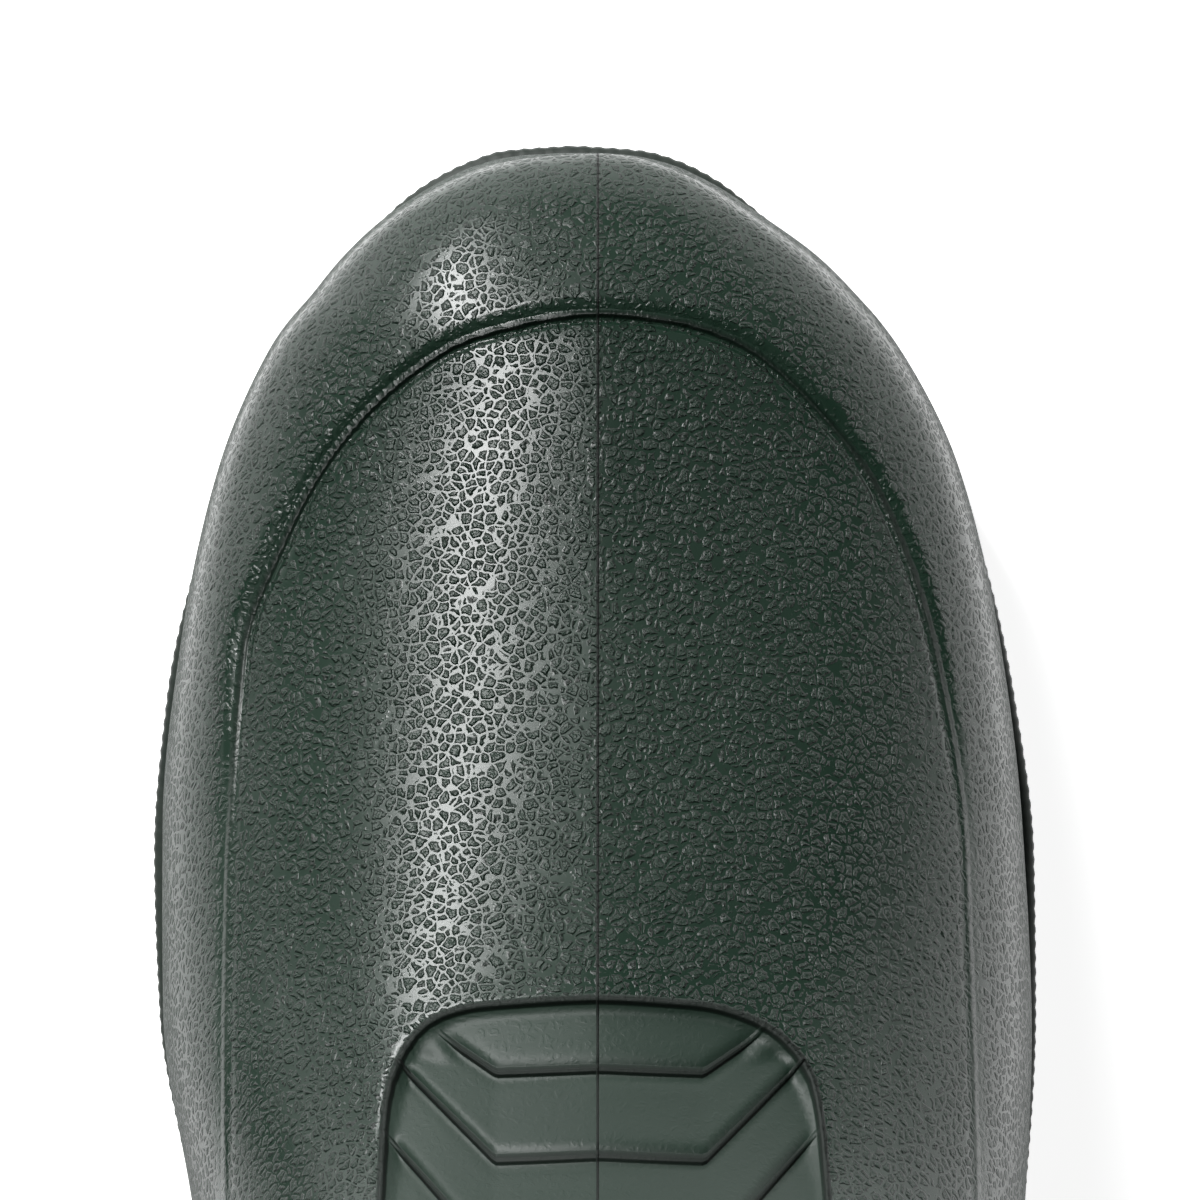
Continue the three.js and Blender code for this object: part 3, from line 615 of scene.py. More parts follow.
@dataclass(frozen=True)
class PlainMould(Finish):
    """Moulded plastic or rubber with a fine even texture."""

    grain_scale: float = 1400.0
    grain_depth: float = 0.00004

    def build(self, kit: GroupKit) -> Material:
        """Makes the material.

        Args:
            kit: Shared effects.

        Returns:
            The material.
        """
        material, tree, shader = self.start()
        place, colour, rough = self.uneven(kit, tree, 40.0)
        grain = tree.add("ShaderNodeTexNoise", {"Vector": place, "Scale": self.grain_scale, "Detail": 2.0})
        self.close(tree, shader, colour, rough, grain.outputs["Fac"], self.grain_depth)
        return material


@dataclass(frozen=True)
class Cloth(Finish):
    """Woven or coated cloth on flat coordinates."""

    warp: float = 1600.0
    weft: float = 1600.0
    depth: float = 0.00006
    ribs: float = 0.0

    def build(self, kit: GroupKit) -> Material:
        """Makes the material.

        Args:
            kit: Shared effects.

        Returns:
            The material.
        """
        material, tree, shader = self.start()
        place, colour, rough = self.uneven(kit, tree, 9.0)
        flat = tree.add("ShaderNodeUVMap", uv_map="flat").outputs[0]
        weave = tree.add("ShaderNodeGroup", {}, node_tree=kit.weave)
        tree.tree.links.new(flat, weave.inputs["Vector"])
        weave.inputs["Warp threads"].default_value = self.warp
        weave.inputs["Weft threads"].default_value = self.weft
        height: object = weave.outputs["Height"]
        if self.ribs:
            axes = tree.add("ShaderNodeSeparateXYZ", {0: flat})
            wave = tree.math("SINE", tree.math("MULTIPLY", axes.outputs[1], self.ribs * 2 * math.pi))
            height = tree.math("MULTIPLY_ADD", wave, 1.6, height)
        crumple = tree.add(
            "ShaderNodeTexNoise", {"Vector": place, "Scale": 26.0, "Detail": 6.0, "Roughness": 0.55}
        )
        height = tree.math("MULTIPLY_ADD", crumple.outputs["Fac"], 9.0, height)
        # painted shade: the gaps between the threads are darkened in colour
        gap = tree.math("MULTIPLY", weave.outputs["Gap"], 0.35)
        colour = tree.blend(gap, colour, self.deep(0.4))
        self.close(tree, shader, colour, rough, height, self.depth)
        return material


class Wardrobe:
    """Every material of the garment, by what it is on."""

    def __init__(self, kit: GroupKit) -> None:
        self.boot = MouldedBoot(
            "moulded boot", (0.0075, 0.022, 0.0135), (0.011, 0.029, 0.018),
            0.23, 0.29, 0.5,
        ).build(kit)
        self.sole = PlainMould(
            "cleated sole", (0.018, 0.026, 0.021), (0.026, 0.036, 0.029),
            0.5, 0.66, 0.4, grain_scale=900.0, grain_depth=0.00008,
        ).build(kit)
        self.fabric = Cloth(
            "coated nylon", (0.022, 0.034, 0.021), (0.030, 0.044, 0.028),
            0.55, 0.72, 0.35, 0.08,
        ).build(kit)
        self.patch = Cloth(
            "reinforcement cloth", (0.012, 0.019, 0.013), (0.017, 0.025, 0.017),
            0.6, 0.78, 0.3, 0.08, warp=900.0, weft=900.0, depth=0.0001,
        ).build(kit)
        self.tape = PlainMould(
            "seam tape", (0.011, 0.018, 0.012), (0.015, 0.023, 0.016),
            0.42, 0.55, 0.45,
        ).build(kit)
        self.webbing = Cloth(
            "woven webbing", (0.010, 0.011, 0.011), (0.016, 0.018, 0.017),
            0.7, 0.85, 0.3, 0.12, warp=1100.0, weft=700.0, depth=0.00016,
        ).build(kit)
        self.elastic = Cloth(
            "ribbed elastic", (0.012, 0.014, 0.013), (0.018, 0.020, 0.019),
            0.7, 0.85, 0.3, 0.12, warp=1500.0, weft=500.0, depth=0.00018, ribs=420.0,
        ).build(kit)
        self.plastic = PlainMould(
            "black acetal", (0.012, 0.013, 0.013), (0.018, 0.019, 0.019),
            0.32, 0.46, 0.5, grain_scale=2200.0,
        ).build(kit)
        self.felt = PlainMould(
            "insole felt", (0.05, 0.055, 0.056), (0.075, 0.08, 0.08),
            0.85, 0.95, 0.2, grain_scale=1800.0, grain_depth=0.0003,
        ).build(kit)
        self.thread = PlainMould(
            "sewing thread", (0.07, 0.085, 0.065), (0.1, 0.12, 0.09),
            0.6, 0.8, 0.3,
        ).build(kit)


def dress(thing: Thing, material: Material) -> None:
    """Gives an object one material."""
    thing.data.materials.clear()
    thing.data.materials.append(material)


# ------------------------------------------------------------------ boots
@dataclass(frozen=True)
class BootShape:
    """Outer shape of a boot with its toe guard, flex zone and parting line."""

    wall: float = 4.0
    top_z: float = 290.0
    toe_spring: float = 8.0
    spring_start: float = -200.0
    toe_y: float = -308.0
    guard_rise: float = 1.25
    flex_depth: float = 1.3
    groove_depth: float = 0.35
    groove_pitch: float = 9.4
    upper_columns: int = 208
    lower_columns: int = 88
    # low y, low z, top y, top z, medial, lateral, split, lower n
    stations: tuple[tuple[float, ...], ...] = (
        (-306.25, 22.5, -306.25, 24.5, 5.4, 0.3, 0.5, 2.2),
        (-305.6, 17.6, -305.7, 31.0, 11.8, 5.5, 0.45, 2.2),
        (-304.5, 15.4, -304.7, 35.5, 15.8, 9.7, 0.43, 2.5),
        (-302.0, 14.4, -302.3, 40.5, 21.1, 15.0, 0.42, 3),
        (-297.25, 14.0, -297.7, 46.0, 28.1, 22.1, 0.41, 4),
        (-292.2, 14.0, -292.8, 49.6, 33.4, 28.9, 0.4, 5),
        (-287.0, 14.0, -287.8, 52.7, 37.6, 34.0, 0.39, 5.5),
        (-281.9, 14.0, -282.8, 55.2, 41.8, 38.3, 0.38, 6),
        (-266.0, 14.0, -267.0, 61.0, 49.2, 46.8, 0.36, 7),
        (-243.0, 14.0, -245.0, 70.0, 54.3, 52.4, 0.34, 8),
        (-218.0, 14.0, -221.0, 81.0, 56.8, 55.4, 0.32, 8),
        (-193.0, 14.0, -198.0, 95.0, 56.4, 56.3, 0.32, 8),
        (-168.0, 14.0, -180.0, 112.0, 52.5, 55.1, 0.32, 8),
        (-138.0, 14.0, -171.0, 129.0, 48.2, 52, 0.34, 7),
        (-105.0, 14.0, -167.0, 144.0, 44, 48, 0.36, 6),
        (-70.0, 14.0, -165.5, 157.0, 42, 44, 0.4, 5),
        (-34.0, 14.0, -165.0, 169.0, 41, 42, 0.45, 4),
        (-7.0, 18.0, -165.0, 181.0, 42, 42, 0.5, 3),
        (-2.0, 45.0, -165.0, 194.0, 45, 45, 0.5, 2.6),
        (-3.0, 80.0, -165.5, 208.0, 50, 50, 0.5, 2.4),
        (-9.0, 125.0, -166.0, 226.0, 58, 58, 0.5, 2.2),
        (-11.0, 180.0, -166.0, 246.0, 65, 65, 0.5, 2.2),
        (-9.0, 240.0, -166.0, 268.0, 69, 69, 0.5, 2.2),
        (-8.0, 290.0, -166.0, 290.0, 70, 70, 0.5, 2.2),
    )
    # guard's inner foot, from the medial side round the toe: across, behind the toe tip
    guard: tuple[tuple[float, float], ...] = (
        (46.0, 150.0), (46.2, 134.0), (46.8, 98.0), (45.5, 66.6), (40.6, 53.0), (34.8, 42.3), (25.5, 32.4),
        (15.2, 26.4), (0.0, 23.8), (-9.5, 24.6), (-18.3, 27.4), (-28.0, 35.4), (-36.5, 46.8), (-43.3, 66.6),
        (-46.8, 92.0), (-47.0, 122.0), (-46.6, 150.0),
    )
    flex_zone: tuple[tuple[float, float], ...] = (
        (26.6, 168.0), (26.2, 132.0), (26.1, 124.5), (25.6, 118.6), (23.2, 113.0), (19.4, 109.8),
        (14.0, 108.5),
        (0.0, 107.9), (-12.0, 108.4), (-18.6, 110.0), (-23.4, 113.0), (-26.4, 117.4), (-27.4, 123.5),
        (-27.8, 132.0), (-28.2, 168.0),
    )

    def lift(self, y: Array) -> Array:
        """How far the toe end is raised at a place along the foot."""
        share = np.clip((self.spring_start - y) / 108.0, 0, None)
        return self.toe_spring * share * share

    def rows_at(self, places: Array) -> Array:
        """Station values at fractional station numbers."""
        table = np.asarray(self.stations, float)
        return pchip(np.arange(len(table), dtype=float), table, places)

    def angles(self) -> Array:
        """Places round a section, denser over the top."""
        share = np.linspace(0, 1, self.upper_columns, endpoint=False)
        upper = math.pi * (share + 0.45 * np.sin(2 * math.pi * share) / (2 * math.pi))
        lower = np.linspace(math.pi, 2 * math.pi, self.lower_columns, endpoint=False)
        return np.concatenate([upper, lower])

    def sections(self, places: Array, inset: float, angles: Array) -> Array:
        """Rings of the boot.

        Args:
            places: Fractional station numbers.
            inset: Wall thickness taken off.
            angles: Places round each ring.

        Returns:
            Rings by angles by x (medial positive), y, z.
        """
        low_y, low_z, top_y, top_z, medial, lateral, split, square = self.rows_at(places).T[:, :, None]
        height = np.hypot(top_y - low_y, top_z - low_z)
        along_y, along_z = (top_y - low_y) / height, (top_z - low_z) / height
        sine, cosine = np.sin(angles)[None], np.cos(angles)[None]
        exponent = np.where(sine < 0, 2 / square, 2 / 2.3)
        across = signed_power(cosine, exponent)
        up = signed_power(sine, exponent)
        half = np.maximum(np.where(across > 0, medial, lateral) - inset, 0.2)
        reach = np.maximum(np.where(sine < 0, height * split, height * (1 - split)) - inset, 0.2)
        rise = height * split + up * reach
        y = low_y + along_y * rise
        z = low_z + along_z * rise
        return np.stack([across * half, y, z + self.lift(y)], axis=-1)

    def spacing(self, fine: float, coarse: float) -> Array:
        """Station numbers spaced evenly over the surface, finer on the foot than on the shaft."""
        dense = np.linspace(0, len(self.stations) - 1, 4000)
        rows = self.rows_at(dense)
        low = np.hypot(np.diff(rows[:, 0]), np.diff(rows[:, 1]))
        top = np.hypot(np.diff(rows[:, 2]), np.diff(rows[:, 3]))
        wide = np.abs(np.diff(rows[:, 4]))
        step = np.maximum(np.maximum(low * 0.6, top), wide)
        pitch = np.where(dense[1:] < 14.5, fine, coarse)
        pitch = np.where((dense[1:] > 10.7) & (dense[1:] < 13.2), fine * 0.5, pitch)
        run = np.concatenate([[0], np.cumsum(step / pitch)])
        return np.interp(np.arange(0, math.ceil(run[-1]) + 1) * run[-1] / math.ceil(run[-1]), run, dense)

    def relief(self, points: Array, normals: Array) -> tuple[Array, dict[str, Array]]:
        """Raised and sunken features of the vamp.

        Args:
            points: Surface points, n by 3, medial positive.
            normals: Outward normals.

        Returns:
            How far each point moves outwards, and the fields that the material reads.
        """
        plan = np.stack([points[:, 0], points[:, 1] - self.toe_y], axis=1)
        height = points[:, 2] - self.lift(points[:, 1])
        on_top = smoothstep(0.05, 0.3, normals[:, 2]) * smoothstep(26, 34, height)
        guard_line = smooth_line(self.guard, 90)
        panel = inside_outline(plan, guard_line.tolist())
        gap = distance_to_line(plan, guard_line.tolist())
        guard = np.where(panel, gap, -gap)
        fade = (1 - smoothstep(52, 96, plan[:, 1])) * (1 - 0.45 * smoothstep(8, 40, -plan[:, 0]))
        brow = smoothstep(0.22, 0.62, normals[:, 2])
        rise = self.guard_rise * (0.12 + 0.88 * fade) * (1 - smoothstep(-1.0, 0.5, guard)) * brow
        rise -= 0.45 * fade * np.exp(-(((guard - 0.4) / 0.8) ** 2)) * brow
        zone_line = smooth_line(self.flex_zone, 80)
        zone = inside_outline(plan, zone_line.tolist())
        zone_gap = distance_to_line(plan, zone_line.tolist())
        flex = np.where(zone, zone_gap, -zone_gap)
        flex = np.where(on_top > 0.5, flex, -20.0)
        bed = smoothstep(0.0, 1.7, flex)
        turn, reach = self.groove_turn(plan)
        ramp, near = self.plate_shape(turn)
        rise -= bed * (self.flex_depth + reach * (1.0 - ramp + self.groove_depth * near))
        eave = 36.0
        across = np.minimum(np.abs(points[:, 0]), eave)
        roof = 0.045 * (np.sqrt(eave**2 + 1) - np.sqrt(across**2 + 1)) * brow
        fields = {
            "guard": guard,
            "guard_strength": (0.25 + 0.75 * fade) * on_top,
            "flex": flex,
            "groove": turn,
            "groove_strength": reach,
            "parting": points[:, 0],
            "lower_wall": 1 - smoothstep(0.1, 0.4, normals[:, 2]),
        }
        return rise + roof, fields

    def groove_turn(self, plan: Array) -> tuple[Array, Array]:
        """Place among the flex grooves.

        Args:
            plan: Across and behind the toe tip, n by 2.

        Returns:
            Pitches behind the first groove, whole at each groove, and how far the grooves reach, 0 to 1.
        """
        across = np.abs(plan[:, 0] + 0.3)
        arm = np.clip(across - 12.7, 0, None)
        bow = 0.25 * np.clip(1 - across / 12.7, 0, 1)
        lines = [115.6 - bow + self.groove_pitch * n - arm * (0.6 if n == 0 else 0.85) for n in range(7)]
        turn = (plan[:, 1] - lines[0]) / self.groove_pitch
        for number in range(6):
            share = (plan[:, 1] - lines[number]) / (lines[number + 1] - lines[number])
            turn = np.where(share >= 0, number + share, turn)
        end = 18.0 + 6.6 * smoothstep(0.15, 0.85, turn)
        return turn, 1 - smoothstep(end - 1.0, end + 2.5, across)

    def plate_shape(self, turn: Array) -> tuple[Array, Array]:
        """Rise of the plates between grooves and closeness to a groove.

        Args:
            turn: Pitches behind the first groove.

        Returns:
            Rise and closeness, each 0 to 1.
        """
        step = 1.1 / self.groove_pitch
        share = turn + step - np.floor(turn + step)
        climb = np.clip((share - 2 * step) / (1 - 2 * step), 0, 1)
        fall = 1 - smoothstep(0.0, 2 * step, share)
        ramp = np.where(turn < -step, 1.0, np.maximum(climb, fall))
        offset = np.where(turn < -0.5, 0.5, np.abs(turn - np.round(turn)))
        return ramp, np.exp(-((offset * self.groove_pitch / 1.1) ** 2))

    def outline(self, count: int, grow: float = 0.0) -> Array:
        """Outline of the sole in plan, evenly spaced, medial positive.

        Args:
            count: Number of points.
            grow: Distance added to every half width.

        Returns:
            Points, count by 2, as across and y.
        """
        medial = [
            (3.2, -308.0), (12.5, -307.3), (16.8, -306.0), (22.3, -303.3), (26.0, -300.7), (28.9, -298.0),
            (33.7, -292.7), (37.4, -287.3), (41.3, -282.0), (47.3, -271.3), (53.3, -255.3), (58.2, -234.0),
            (60.0, -212.7), (59.3, -191.3), (55.6, -170.0), (50.0, -145.0), (44.6, -105.0), (42.5, -70.0),
            (40.5, -36.0), (36.0, -20.0), (27.0, -9.0), (15.0, -2.6), (0.0, -0.4),
        ]
        lateral = [
            (15.0, -2.6), (27.0, -9.0), (36.0, -20.0), (41.0, -36.0), (44.0, -70.0), (47.5, -105.0),
            (53.0, -140.0), (58.0, -168.0), (59.3, -191.3), (59.0, -212.7), (56.3, -234.0), (51.3, -255.3),
            (44.2, -271.3), (37.8, -282.0), (33.9, -287.3), (29.2, -292.7), (22.9, -298.0), (19.6, -300.7),
            (16.1, -303.3), (10.7, -306.0), (6.0, -307.3),
        ]
        loop = [*medial, *((-x, y) for x, y in lateral), medial[0]]
        even = smooth_line(loop, count + 1)[:-1]
        if grow:
            before = np.roll(even, 1, axis=0)
            after = np.roll(even, -1, axis=0)
            along = after - before
            out = np.stack([-along[:, 1], along[:, 0]], axis=1)
            out /= np.linalg.norm(out, axis=1, keepdims=True)
            even = even - out * grow
        return even


class Boot:
    """One moulded boot: upper, cleated sole and insole."""

    def __init__(
        self, maker: MeshMaker, wardrobe: Wardrobe, side: Side, shape: BootShape, middle_x: float
    ) -> None:
        self.maker = maker
        self.wardrobe = wardrobe
        self.side = side
        self.shape = shape
        self.middle_x = middle_x

    def _place(self, points: Array) -> Array:
        """Boot points, medial positive, in the garment's layout."""
        placed = np.array(points)
        placed[..., 0] = self.side.value * self.middle_x - self.side.value * points[..., 0]
        return placed

    def _skin(self, name: str, rings: Array, **options: object) -> Thing:
        """Grid of placed rings whose faces look outwards on either side."""
        placed = self._place(rings)
        if self.side is Side.LEFT:
            placed = placed[:, ::-1]
        return self.maker.grid(name, placed, **options)

    def build(self) -> list[Thing]:
        """Makes the boot's pieces.

        Returns:
            The pieces.
        """
        return [self.upper(), self.sole(), self.insole()]

    def upper(self) -> Thing:
        """Moulded upper with its relief, rim and inside."""
        shape = self.shape
        angles = shape.angles()
        rings = shape.sections(shape.spacing(1.0, 2.6), 0.0, angles)
        count, columns = rings.shape[:2]
        along = np.gradient(rings, axis=0)
        around = np.roll(rings, -1, axis=1) - np.roll(rings, 1, axis=1)
        normals = np.cross(around, along).reshape(-1, 3)
        normals /= np.maximum(np.linalg.norm(normals, axis=1, keepdims=True), 1e-9)
        flat = rings.reshape(-1, 3)
        centre = rings.mean(1, keepdims=True).repeat(columns, axis=1).reshape(-1, 3)
        outward = np.sign(np.einsum("ij,ij->i", normals, flat - centre))
        normals *= np.where(outward == 0, 1, outward)[:, None]
        rise, fields = shape.relief(flat, normals)
        rise = rise + np.exp(-((flat[:, 2] - shape.top_z + 16.0) / 3.0) ** 2)
        rings = (flat + normals * rise[:, None]).reshape(count, columns, 3)
        inner = shape.sections(np.linspace(len(shape.stations) - 1, 3.2, 40), shape.wall, angles)
        whole = np.concatenate([rings, inner])
        name = f"{self.side.word}_boot_moulding"
        thing = self._skin(name, whole, cap_start=True, cap_end=True)
        far_off = {"guard": 9.0, "flex": -9.0, "parting": 9.0}
        for label, values in fields.items():
            grid = np.full((len(whole), columns), far_off.get(label, 0.0))
            grid[:count] = values.reshape(count, columns)
            if self.side is Side.LEFT:
                grid = grid[:, ::-1]
            self.maker.attribute(thing, label, grid.ravel())
        dress(thing, self.wardrobe.boot)
        return self._finish(thing, f"{self.side.word}_boot_upper")

    def _finish(self, thing: Thing, node: str) -> Thing:
        """Attaches a piece to the garment and hides the part that it stands for."""
        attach(thing, "garment")
        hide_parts(node)
        return thing

    def _tread(self, plan: Array) -> Array:
        """Height of the sole's underside over the ground at plan points."""
        y = plan[:, 1]
        x = plan[:, 0]
        slant = 0.22 * np.abs(x)
        fore = ((y + 292 + slant) % 16.0) < 7.0
        heel = ((y + 76 - slant) % 16.0) < 7.0
        in_fore = (y > -296) & (y < -157)
        in_heel = (y > -84) & (y < -22)
        arch = (y >= -133) & (y <= -92)
        sunk = (in_fore & fore) | (in_heel & heel) | arch
        channel = (np.abs(x) < 3.2) & (in_fore | in_heel)
        return np.where(sunk | channel, 4.0, 0.0)

    def sole(self) -> Thing:
        """Cleated sole with its ribbed edge."""
        shape = self.shape
        count = 1400
        edge = shape.outline(count)
        axis_y = np.clip(edge[:, 1], -262.0, -42.0)
        axis = np.stack([np.zeros(count), axis_y], axis=1)
        run = np.concatenate([[0], np.cumsum(np.linalg.norm(np.diff(edge, axis=0), axis=1))])
        ribs = 0.5 + 0.5 * np.cos(run / run[-1] * round(run[-1] / 1.9) * 2 * math.pi)
        rings: list[Array] = []
        for share in np.linspace(1.0, 0.03, 44):
            plan = axis + (edge - axis) * (1 - share)
            rings.append(np.column_stack([plan, self._tread(plan)]))
        out = (edge - axis) / np.linalg.norm(edge - axis, axis=1, keepdims=True)
        foot = self._tread(edge)
        profile = (
            (0.0, -1.6), (0.2, -0.9), (0.9, -0.5), (3.8, -0.35), (4.2, -0.55), (6.0, -0.35), (8.6, -0.3),
            (9.2, -0.8), (9.6, -0.8), (10.2, -0.1), (12.6, 0.0), (13.4, -0.3), (13.8, -1.1),
        )
        for height, offset in profile:
            ripple = -0.16 * ribs if 4.2 < height < 9.0 or height > 10.0 else 0.0 * ribs
            lift = np.maximum(height, foot) if height < 4.0 else np.full(count, height)
            rings.append(np.column_stack([edge + out * (offset + ripple)[:, None], lift]))
        for share, height in ((0.06, 13.9), (0.1, 13.4), (0.2, 13.3), (0.6, 13.3), (1.0, 13.3)):
            plan = axis + (edge - axis) * (1 - share)
            rings.append(np.column_stack([plan, np.full(count, height)]))
        whole = np.stack(rings)
        whole[..., 2] += shape.lift(whole[..., 1])
        thing = self._skin(f"{self.side.word}_sole_moulding", whole)
        self.maker.weld(thing, 1e-6)
        dress(thing, self.wardrobe.sole)
        return self._finish(thing, f"{self.side.word}_outsole")

    def insole(self) -> Thing:
        """Loose insole on the boot's floor."""
        shape = self.shape
        edge = shape.outline(160, -12.5)
        axis = np.stack([np.zeros(len(edge)), np.clip(edge[:, 1], -255.0, -50.0)], axis=1)
        rings = []
        section = (
            (1.0, 18.4), (0.1, 18.4), (0.02, 18.7), (0.0, 20.0), (0.02, 21.8), (0.1, 22.3), (1.0, 22.3),
        )
        for share, height in section:
            rings.append(np.column_stack([axis + (edge - axis) * (1 - share), np.full(len(edge), height)]))
        whole = np.stack(rings)
        whole[..., 2] += shape.lift(whole[..., 1])
        thing = self._skin(f"{self.side.word}_insole_felt", whole)
        self.maker.weld(thing, 1e-6)
        dress(thing, self.wardrobe.felt)
        return self._finish(thing, f"{self.side.word}_insole")


# ------------------------------------------------------------------ garment's shape
def unit(vector: Array) -> Array:
    """Vectors of length one."""
    return vector / np.maximum(np.linalg.norm(vector, axis=-1, keepdims=True), 1e-9)


@dataclass(frozen=True)
class BodyShape:
    """Sections of the garment's body and legs, rounded boxes round upright axes."""

    middle_y: float = -90.0
    squareness: float = 2.2
    leg_seat: float = 2.9
    bib_front_z: float = 1325.0
    bib_back_z: float = 1285.0
    bib_side_z: float = 1240.0
    waist_z: float = 1060.0
    # z, half width, half depth
    body: tuple[tuple[float, float, float], ...] = (
        (788, 70, 92), (800, 150, 116), (818, 218, 135), (850, 225, 146), (910, 224, 151), (985, 208, 144),
        (1030, 195, 137), (1090, 195, 137), (1180, 206, 145), (1240, 215, 150), (1400, 215, 150),
    )
    # z, middle x, middle y, half width, half depth
    leg: tuple[tuple[float, float, float, float, float], ...] = (
        (248, 125, -87, 70, 79), (268, 125, -87, 70, 79), (294, 125, -87, 71, 80), (330, 125, -87, 79, 87),
        (400, 123, -89, 86, 93), (500, 120, -91, 94, 96), (650, 115, -90, 104, 108),
        (780, 112, -90, 107, 124),
        (850, 104, -90, 96, 118),
    )

    def halves(self, z: Array | float) -> Array:
        """Half width and half depth of the body at a height."""
        table = np.asarray(self.body, float)
        return pchip(table[:, 0], table[:, 1:], np.atleast_1d(z))

    def ring(self, angle: Array, z: Array, offset: float) -> Array:
        """Points of the body at angles and heights, moved outwards by an offset."""
        half = self.halves(z) + offset
        across = signed_power(np.cos(angle), 2 / self.squareness)
        deep = signed_power(np.sin(angle), 2 / self.squareness)
        return np.stack([half[:, 0] * across, self.middle_y + half[:, 1] * deep, z + 0 * across], axis=-1)

    def leg_ring(self, side: Side, angle: Array, z: float, offset: float) -> Array:
        """Points of a leg at angles and one height, moved outwards by an offset."""
        table = np.asarray(self.leg, float)
        x, y, wide, deep = pchip(table[:, 0], table[:, 1:], np.array([z]))[0]
        wide, deep = wide + self.leg_seat + offset, deep + self.leg_seat + offset
        across = signed_power(np.cos(angle), 2 / self.squareness)
        back = signed_power(np.sin(angle), 2 / self.squareness)
        return np.stack([side.value * x + wide * across, y + deep * back, z + 0 * across], axis=-1)

    def face(self, x: Array, z: Array, offset: Array | float, back: bool = False) -> tuple[Array, Array]:
        """Points on the body's front or back at given widths and heights.

        Args:
            x: Places across.
            z: Heights.
            offset: Distance out from the fabric.
            back: Whether it is the back.

        Returns:
            The points and their outward normals.
        """
        half = self.halves(z)
        share = np.clip(np.abs(x) / half[:, 0], 0, 0.999)
        deep = (1 - share**self.squareness) ** (1 / self.squareness)
        sign = 1.0 if back else -1.0
        sideways = np.sign(x) * share**1.2 / half[:, 0]
        outwards = sign * deep**1.2 / half[:, 1]
        normal = unit(np.stack([sideways, outwards, np.zeros_like(share)], axis=-1))
        point = np.stack([x, self.middle_y + sign * half[:, 1] * deep, z], axis=-1)
        return point + normal * np.reshape(offset, (-1, 1)), normal

    def top_edge(self, angle: Array) -> Array:
        """Height of the garment's top edge round the body."""
        front = np.maximum(0, -np.sin(angle))
        back = np.maximum(0, np.sin(angle))
        rise = np.minimum(1, (front / 0.86) ** 3) * (self.bib_front_z - self.bib_side_z)
        behind = np.minimum(1, (back / 0.9) ** 3) * (self.bib_back_z - self.bib_side_z)
        return self.bib_side_z + rise + behind


@dataclass(frozen=True)
class Slack:
    """How the fabric is let fall before it is fixed."""

    frames: int = 26
    voxel: float = 0.0072
    excess: float = 0.045
    most: float = 15.0
    wall: float = 0.9


